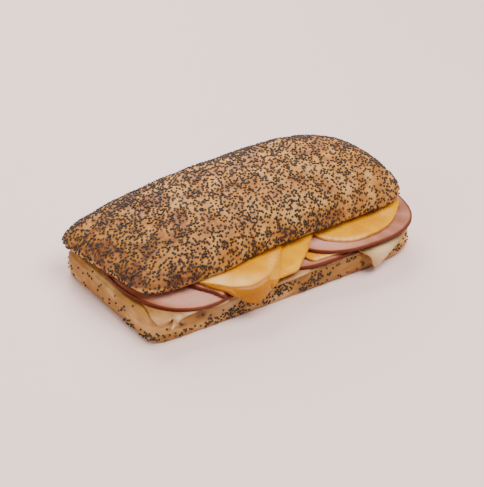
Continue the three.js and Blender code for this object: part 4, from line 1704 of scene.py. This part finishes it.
@dataclass
class PoppySeeds:
    """Poppy seeds scattered on a crust by a seeded draw."""

    name: str
    count: int
    # Number that the random draw starts from.
    draw: int
    slot: Slot
    long: float = 1.32
    wide: float = 1.12
    high: float = 0.9
    spread: float = 0.16
    spacing: float = 1.05
    sunk: float = 0.26
    lean: float = 0.12
    bow: float = 0.9
    bow_back: float = 0.1
    columns: int = 6
    rows: int = 4
    # Width across the flats of so coarse a ball, as a share of its length.
    ball_width: float = 0.87
    # How many places are drawn for each seed that is kept.
    tries: int = 6

    def grain(self) -> tuple[np.ndarray, np.ndarray]:
        """One kidney-shaped seed, a millimetre long.

        Returns:
            Its points and its triangles.
        """
        Bench.clear()
        bpy.ops.mesh.primitive_uv_sphere_add(segments=self.columns, ring_count=self.rows, radius=0.5)
        seed = bpy.context.object
        bpy.ops.object.mode_set(mode="EDIT")
        bpy.ops.mesh.select_all(action="SELECT")
        bpy.ops.transform.rotate(value=math.pi / 2, orient_axis="Y", center_override=(0, 0, 0))
        bpy.ops.mesh.quads_convert_to_tris()
        bpy.ops.object.mode_set(mode="OBJECT")
        points = Bench.vertices(seed)
        points[:, 1] += self.bow * points[:, 0] ** 2 - self.bow_back
        faces = np.array([tuple(face.vertices) for face in seed.data.polygons])
        bpy.data.objects.remove(seed)
        return points, faces

    @staticmethod
    def triangles(crust: bpy.types.Object) -> np.ndarray:
        """Triangles of a crust, in an order that only its vertices set.

        Args:
            crust: The bread piece, of triangles and quads.

        Returns:
            Three vertices for each triangle. A triangle's empty second half has no area.
        """
        faces, loops = crust.data.polygons, crust.data.loops
        start, total = np.empty((2, len(faces)), np.int32)
        vertices = np.empty(len(loops), np.int32)
        faces.foreach_get("loop_start", start)
        faces.foreach_get("loop_total", total)
        loops.foreach_get("vertex_index", vertices)
        start, total = start[:, None], total[:, None]
        first = vertices[start + np.minimum(np.arange(4), total - 1)].argmin(1)[:, None]
        corners = vertices[start + (first + np.arange(4)) % total]
        corners = corners[np.lexsort(corners.T[::-1])]
        return np.vstack([corners[:, :3], corners[:, [0, 2, 3]]])

    def places(self, crust: bpy.types.Object, density: Density) -> tuple[np.ndarray, np.ndarray]:
        """Draws places on a crust.

        Args:
            crust: The bread piece.
            density: How thickly seeds lie at the given places with the given normals.

        Returns:
            A place and a normal for each seed.
        """
        corners = self.triangles(crust)
        points = Bench.points(crust)
        a, b, c = (points[corners[:, k]] for k in range(3))
        cross = np.cross(b - a, c - a)
        area = np.linalg.norm(cross, axis=1) / 2
        normal = cross / np.maximum(2 * area[:, None], 1e-12)
        weight = area * density((a + b + c) / 3, normal)
        rng = np.random.default_rng(self.draw)
        tries = rng.choice(len(weight), size=self.count * self.tries, p=weight / weight.sum())
        u, v = rng.random((2, len(tries), 1))
        flip = u + v > 1
        u, v = np.where(flip, 1 - u, u), np.where(flip, 1 - v, v)
        drawn = a[tries] + u * (b[tries] - a[tries]) + v * (c[tries] - a[tries])
        kept, cells = [], {}
        for index, place in enumerate(drawn):
            cell = tuple(np.floor(place / self.spacing).astype(int))
            near = (
                other
                for dx in (-1, 0, 1)
                for dy in (-1, 0, 1)
                for dz in (-1, 0, 1)
                for other in cells.get((cell[0] + dx, cell[1] + dy, cell[2] + dz), ())
            )
            if all(np.sum((drawn[other] - place) ** 2) > self.spacing**2 for other in near):
                cells.setdefault(cell, []).append(index)
                kept.append(index)
            if len(kept) == self.count:
                break
        return drawn[kept], normal[tries[kept]]

    def make(self, crust: bpy.types.Object, density: Density, material: bpy.types.Material) -> bpy.types.Object:
        """Scatters, joins and dresses the seeds.

        Args:
            crust: The bread piece that they lie on.
            density: How thickly they lie.
            material: Their finish.

        Returns:
            The finished piece.
        """
        grain, faces = self.grain()
        place, normal = self.places(crust, density)
        count = len(place)
        rng = np.random.default_rng(self.draw + 1)
        leaning = normal + rng.normal(0, self.lean, (count, 3))
        up = leaning / np.linalg.norm(leaning, axis=1, keepdims=True)
        any_way = rng.normal(0, 1, (count, 3))
        along = any_way - (any_way * up).sum(1, keepdims=True) * up
        along /= np.linalg.norm(along, axis=1, keepdims=True)
        across = np.cross(up, along)
        size = 1 + self.spread * np.clip(rng.normal(0, 0.6, (count, 3)), -1.3, 1.3)
        size *= np.array([self.long, self.wide / self.ball_width, self.high / self.ball_width])
        local = grain[None] * size[:, None, :]
        points = (
            place[:, None]
            + local[..., :1] * along[:, None]
            + local[..., 1:2] * across[:, None]
            + (local[..., 2:] + (0.5 - self.sunk) * self.high) * up[:, None]
        ).reshape(-1, 3)
        triangles = (faces[None] + (np.arange(count) * len(grain))[:, None, None]).reshape(-1, 3)
        mesh = bpy.data.meshes.new(self.name)
        mesh.from_pydata((points + ROLL_ORIGIN) * MM, [], triangles.tolist())
        piece = bpy.data.objects.new(self.name, mesh)
        bpy.context.scene.collection.objects.link(piece)
        Bench.mark(piece, "shade", np.repeat(rng.random(count) ** 1.6, len(grain)))
        Bench.outward(piece)
        bpy.ops.object.shade_smooth()
        Bench.finish(piece, material, self.slot, [])
        return piece


@dataclass
class SeededCrusts:
    """Where seeds lie on the crown and on the heel's sides."""

    crown: Crown
    heel: Heel
    # Denser band along the crown's front lip, by place along the roll and height over the widest line.
    front_band: SoftSpot = SoftSpot(10, 5, 30, 5, 0.85)
    # Size, shift and weight of the noise that makes loose clusters.
    crown_lumps: tuple[Triple, ...] = ((10.0, 3.4, 0.5), (3.2, 8.9, 1.1))
    heel_lumps: Triple = (4.0, 2.6, 1.6)
    # Density between the heel's clumps, what its back adds, and the least share that the clusters leave.
    heel_sparse: float = 0.16
    heel_back: float = 0.7
    least: float = 0.1
    # The heel's sides: how level a face may lie, and how far seeds stay from the underside and the cut face.
    levelest: float = 0.8
    above_ground: float = 1.1
    below_cut: float = 0.8
    clump_flatness: float = 2.2
    clumps: tuple[Clump, ...] = (
        Clump(19, -46.5, 8, 6, 4),
        Clump(30, -46.5, 10, 4, 4),
        Clump(40, -46.5, 10.5, 3, 3),
        Clump(12, -46.5, 5, 5, 9),
        Clump(-5, -46.5, 8, 5.5, 10),
        Clump(-14, -46.5, 5, 3.5, 6),
        Clump(-24, -46.5, 8, 5, 7),
        Clump(-34, -46.5, 4, 6, 8),
        Clump(-45, -46.5, 3, 4.5, 6),
        Clump(-60, -46.5, 3.5, 3, 6),
        Clump(-66, -46.5, 3, 3, 3),
        Clump(70, -45, 8, 6, 4),
        Clump(84, -34, 8, 7, 2),
        Clump(-80, -45, 3, 4, 12),
        Clump(-83, -38, 1.5, 6, 5),
        Clump(-84, -22, 1.5, 5, 3),
    )

    @staticmethod
    def lumps(points: np.ndarray, size: float, shift: float) -> np.ndarray:
        """Soft noise from about -1 to 1 that makes loose clusters.

        Args:
            points: Places in millimetres.
            size: Size of the clusters in millimetres.
            shift: Which part of the noise to take.

        Returns:
            One value for each place.
        """
        scaled = points / size + shift
        return np.array([noise.noise(Vector(point)) for point in scaled])

    def on_crown(self, points: np.ndarray, normals: np.ndarray) -> np.ndarray:
        """How thickly seeds lie on the crown.

        Args:
            points: Places on it.
            normals: Its normals there.

        Returns:
            The relative density at each place.
        """
        x, y, z = points.T
        lip = self.crown.pushed_lip(x, y)
        above = ease(z - lip, -1.8, -0.4) * ease(normals[:, 2], -0.95, -0.5)
        cluster = np.ones(len(points))
        for size, shift, weight in self.crown_lumps:
            cluster += weight * self.lumps(points, size, shift)
        cluster += 0.25 * ease(-x, 15, 80) - 0.3 * ease(x, 15, 70)
        cluster += self.front_band.on(x, z - lip) * (y < 0)
        return above * np.maximum(cluster, self.least)

    def on_heel(self, points: np.ndarray, normals: np.ndarray) -> np.ndarray:
        """How thickly seeds lie on the heel's sides.

        Args:
            points: Places on it.
            normals: Its normals there.

        Returns:
            The relative density at each place.
        """
        x, y, z = points.T
        side = (np.abs(normals[:, 2]) < self.levelest) & (z > self.above_ground)
        side &= z < self.heel.top(x) - self.below_cut
        total = np.full(len(points), self.heel_sparse) + self.heel_back * (y > 40)
        for clump in self.clumps:
            away = (x - clump.x) ** 2 + (y - clump.y) ** 2 + (self.clump_flatness * (z - clump.z)) ** 2
            total += clump.strength * np.exp(-away / clump.reach**2)
        size, shift, weight = self.heel_lumps
        return side * total * np.maximum(self.least, 1 + weight * self.lumps(points, size, shift))


# The studio


@dataclass(frozen=True)
class Lamp:
    """Soft square lamp: its places in metres, its width in metres and its power in watts."""

    name: str
    place: Triple
    size: float
    power: float
    colour: Triple
    target: Triple = (0.0, 0.0, 0.02)

    def hang(self) -> None:
        """Hangs the lamp and turns it to its target."""
        aim = (Vector(self.target) - Vector(self.place)).to_track_quat("-Z", "Y").to_euler()
        bpy.ops.object.light_add(type="AREA", location=self.place, rotation=aim)
        lamp = bpy.context.object
        lamp.name = self.name
        lamp.data.size = self.size
        lamp.data.energy = self.power
        lamp.data.color = self.colour


@dataclass
class Studio:
    """Floor, lights and camera."""

    camera_place: Triple = (-352.9, -556.8, 425.0)
    camera_way: Triple = (0.4534, 0.7144, -0.5329)
    camera_lens: float = 105.2
    camera_sensor: float = 36.0
    camera_nearest: float = 0.01
    floor_size: float = 6.0
    room_colour: tuple[float, float, float, float] = (1.0, 0.98, 0.97, 1.0)
    room_strength: float = 0.29
    lamps: tuple[Lamp, ...] = (
        Lamp("key_lamp", (0.3, -0.4, 1.1), 0.9, 24.5, (1.0, 0.97, 0.93)),
        Lamp("side_lamp", (-1.1, -0.1, 0.5), 1.0, 8.0, (1.0, 0.97, 0.93)),
        Lamp("back_lamp", (0.5, 1.7, 1.2), 1.4, 60.0, (1.0, 0.93, 0.9), (0.4, 1.0, 0.0)),
    )

    def floor(self) -> None:
        """Lays the pale floor."""
        Bench.clear()
        bpy.ops.mesh.primitive_plane_add(size=self.floor_size, location=(0, 0, 0))
        floor = Bench.name(bpy.context.object, "floor")
        floor.data.materials.append(FloorFinish().material())

    def lights(self) -> None:
        """Hangs the lamps and sets the room's own light."""
        for lamp in self.lamps:
            lamp.hang()
        world = bpy.data.worlds.new("pale_room")
        world.use_nodes = True
        back = world.node_tree.nodes["Background"]
        back.inputs["Color"].default_value = self.room_colour
        back.inputs["Strength"].default_value = self.room_strength
        bpy.context.scene.world = world

    def camera(self) -> None:
        """Sets the camera at the photograph's viewing angle."""
        place = (Vector(self.camera_place) + Vector(ROLL_ORIGIN)) * MM
        turn = Vector(self.camera_way).to_track_quat("-Z", "Y").to_euler()
        bpy.ops.object.camera_add(location=place, rotation=turn)
        camera = bpy.context.object
        camera.name = "camera"
        camera.data.lens = self.camera_lens
        camera.data.sensor_width = self.camera_sensor
        camera.data.clip_start = self.camera_nearest
        bpy.context.scene.camera = camera


def main() -> None:
    """Builds the sandwich and its studio."""
    logging.basicConfig(level=logging.INFO, format="%(name)s: %(message)s")
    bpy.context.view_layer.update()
    effects = SharedEffects()
    crown_finish, heel_finish = CROWN_CRUST.material(effects), HEEL_CRUST.material(effects)
    slice_finishes = {
        Slot.TURKEY: TurkeyFinish().material(effects),
        Slot.YELLOW: YELLOW_CHEESE.material(effects),
        Slot.WHITE: WHITE_CHEESE.material(effects),
    }
    seed_finish = SeedFinish().material()

    stack, heel = Stack(), Heel()
    crown = Crown(lambda x: heel.top(x) + stack.top(x))
    heel_piece = heel.make(heel_finish)
    crown_piece = crown.make(crown_finish)
    Filling(stack, heel).make(slice_finishes)
    crusts = SeededCrusts(crown, heel)
    PoppySeeds("crown_seeds_dark", 4150, 11, Slot.CROWN).make(crown_piece, crusts.on_crown, seed_finish)
    PoppySeeds("crown_seeds_grey", 1850, 29, Slot.CROWN).make(crown_piece, crusts.on_crown, seed_finish)
    PoppySeeds("heel_seeds", 540, 43, Slot.HEEL).make(heel_piece, crusts.on_heel, seed_finish)

    studio = Studio()
    studio.floor()
    studio.lights()
    studio.camera()


if __name__ == "__main__":
    main()
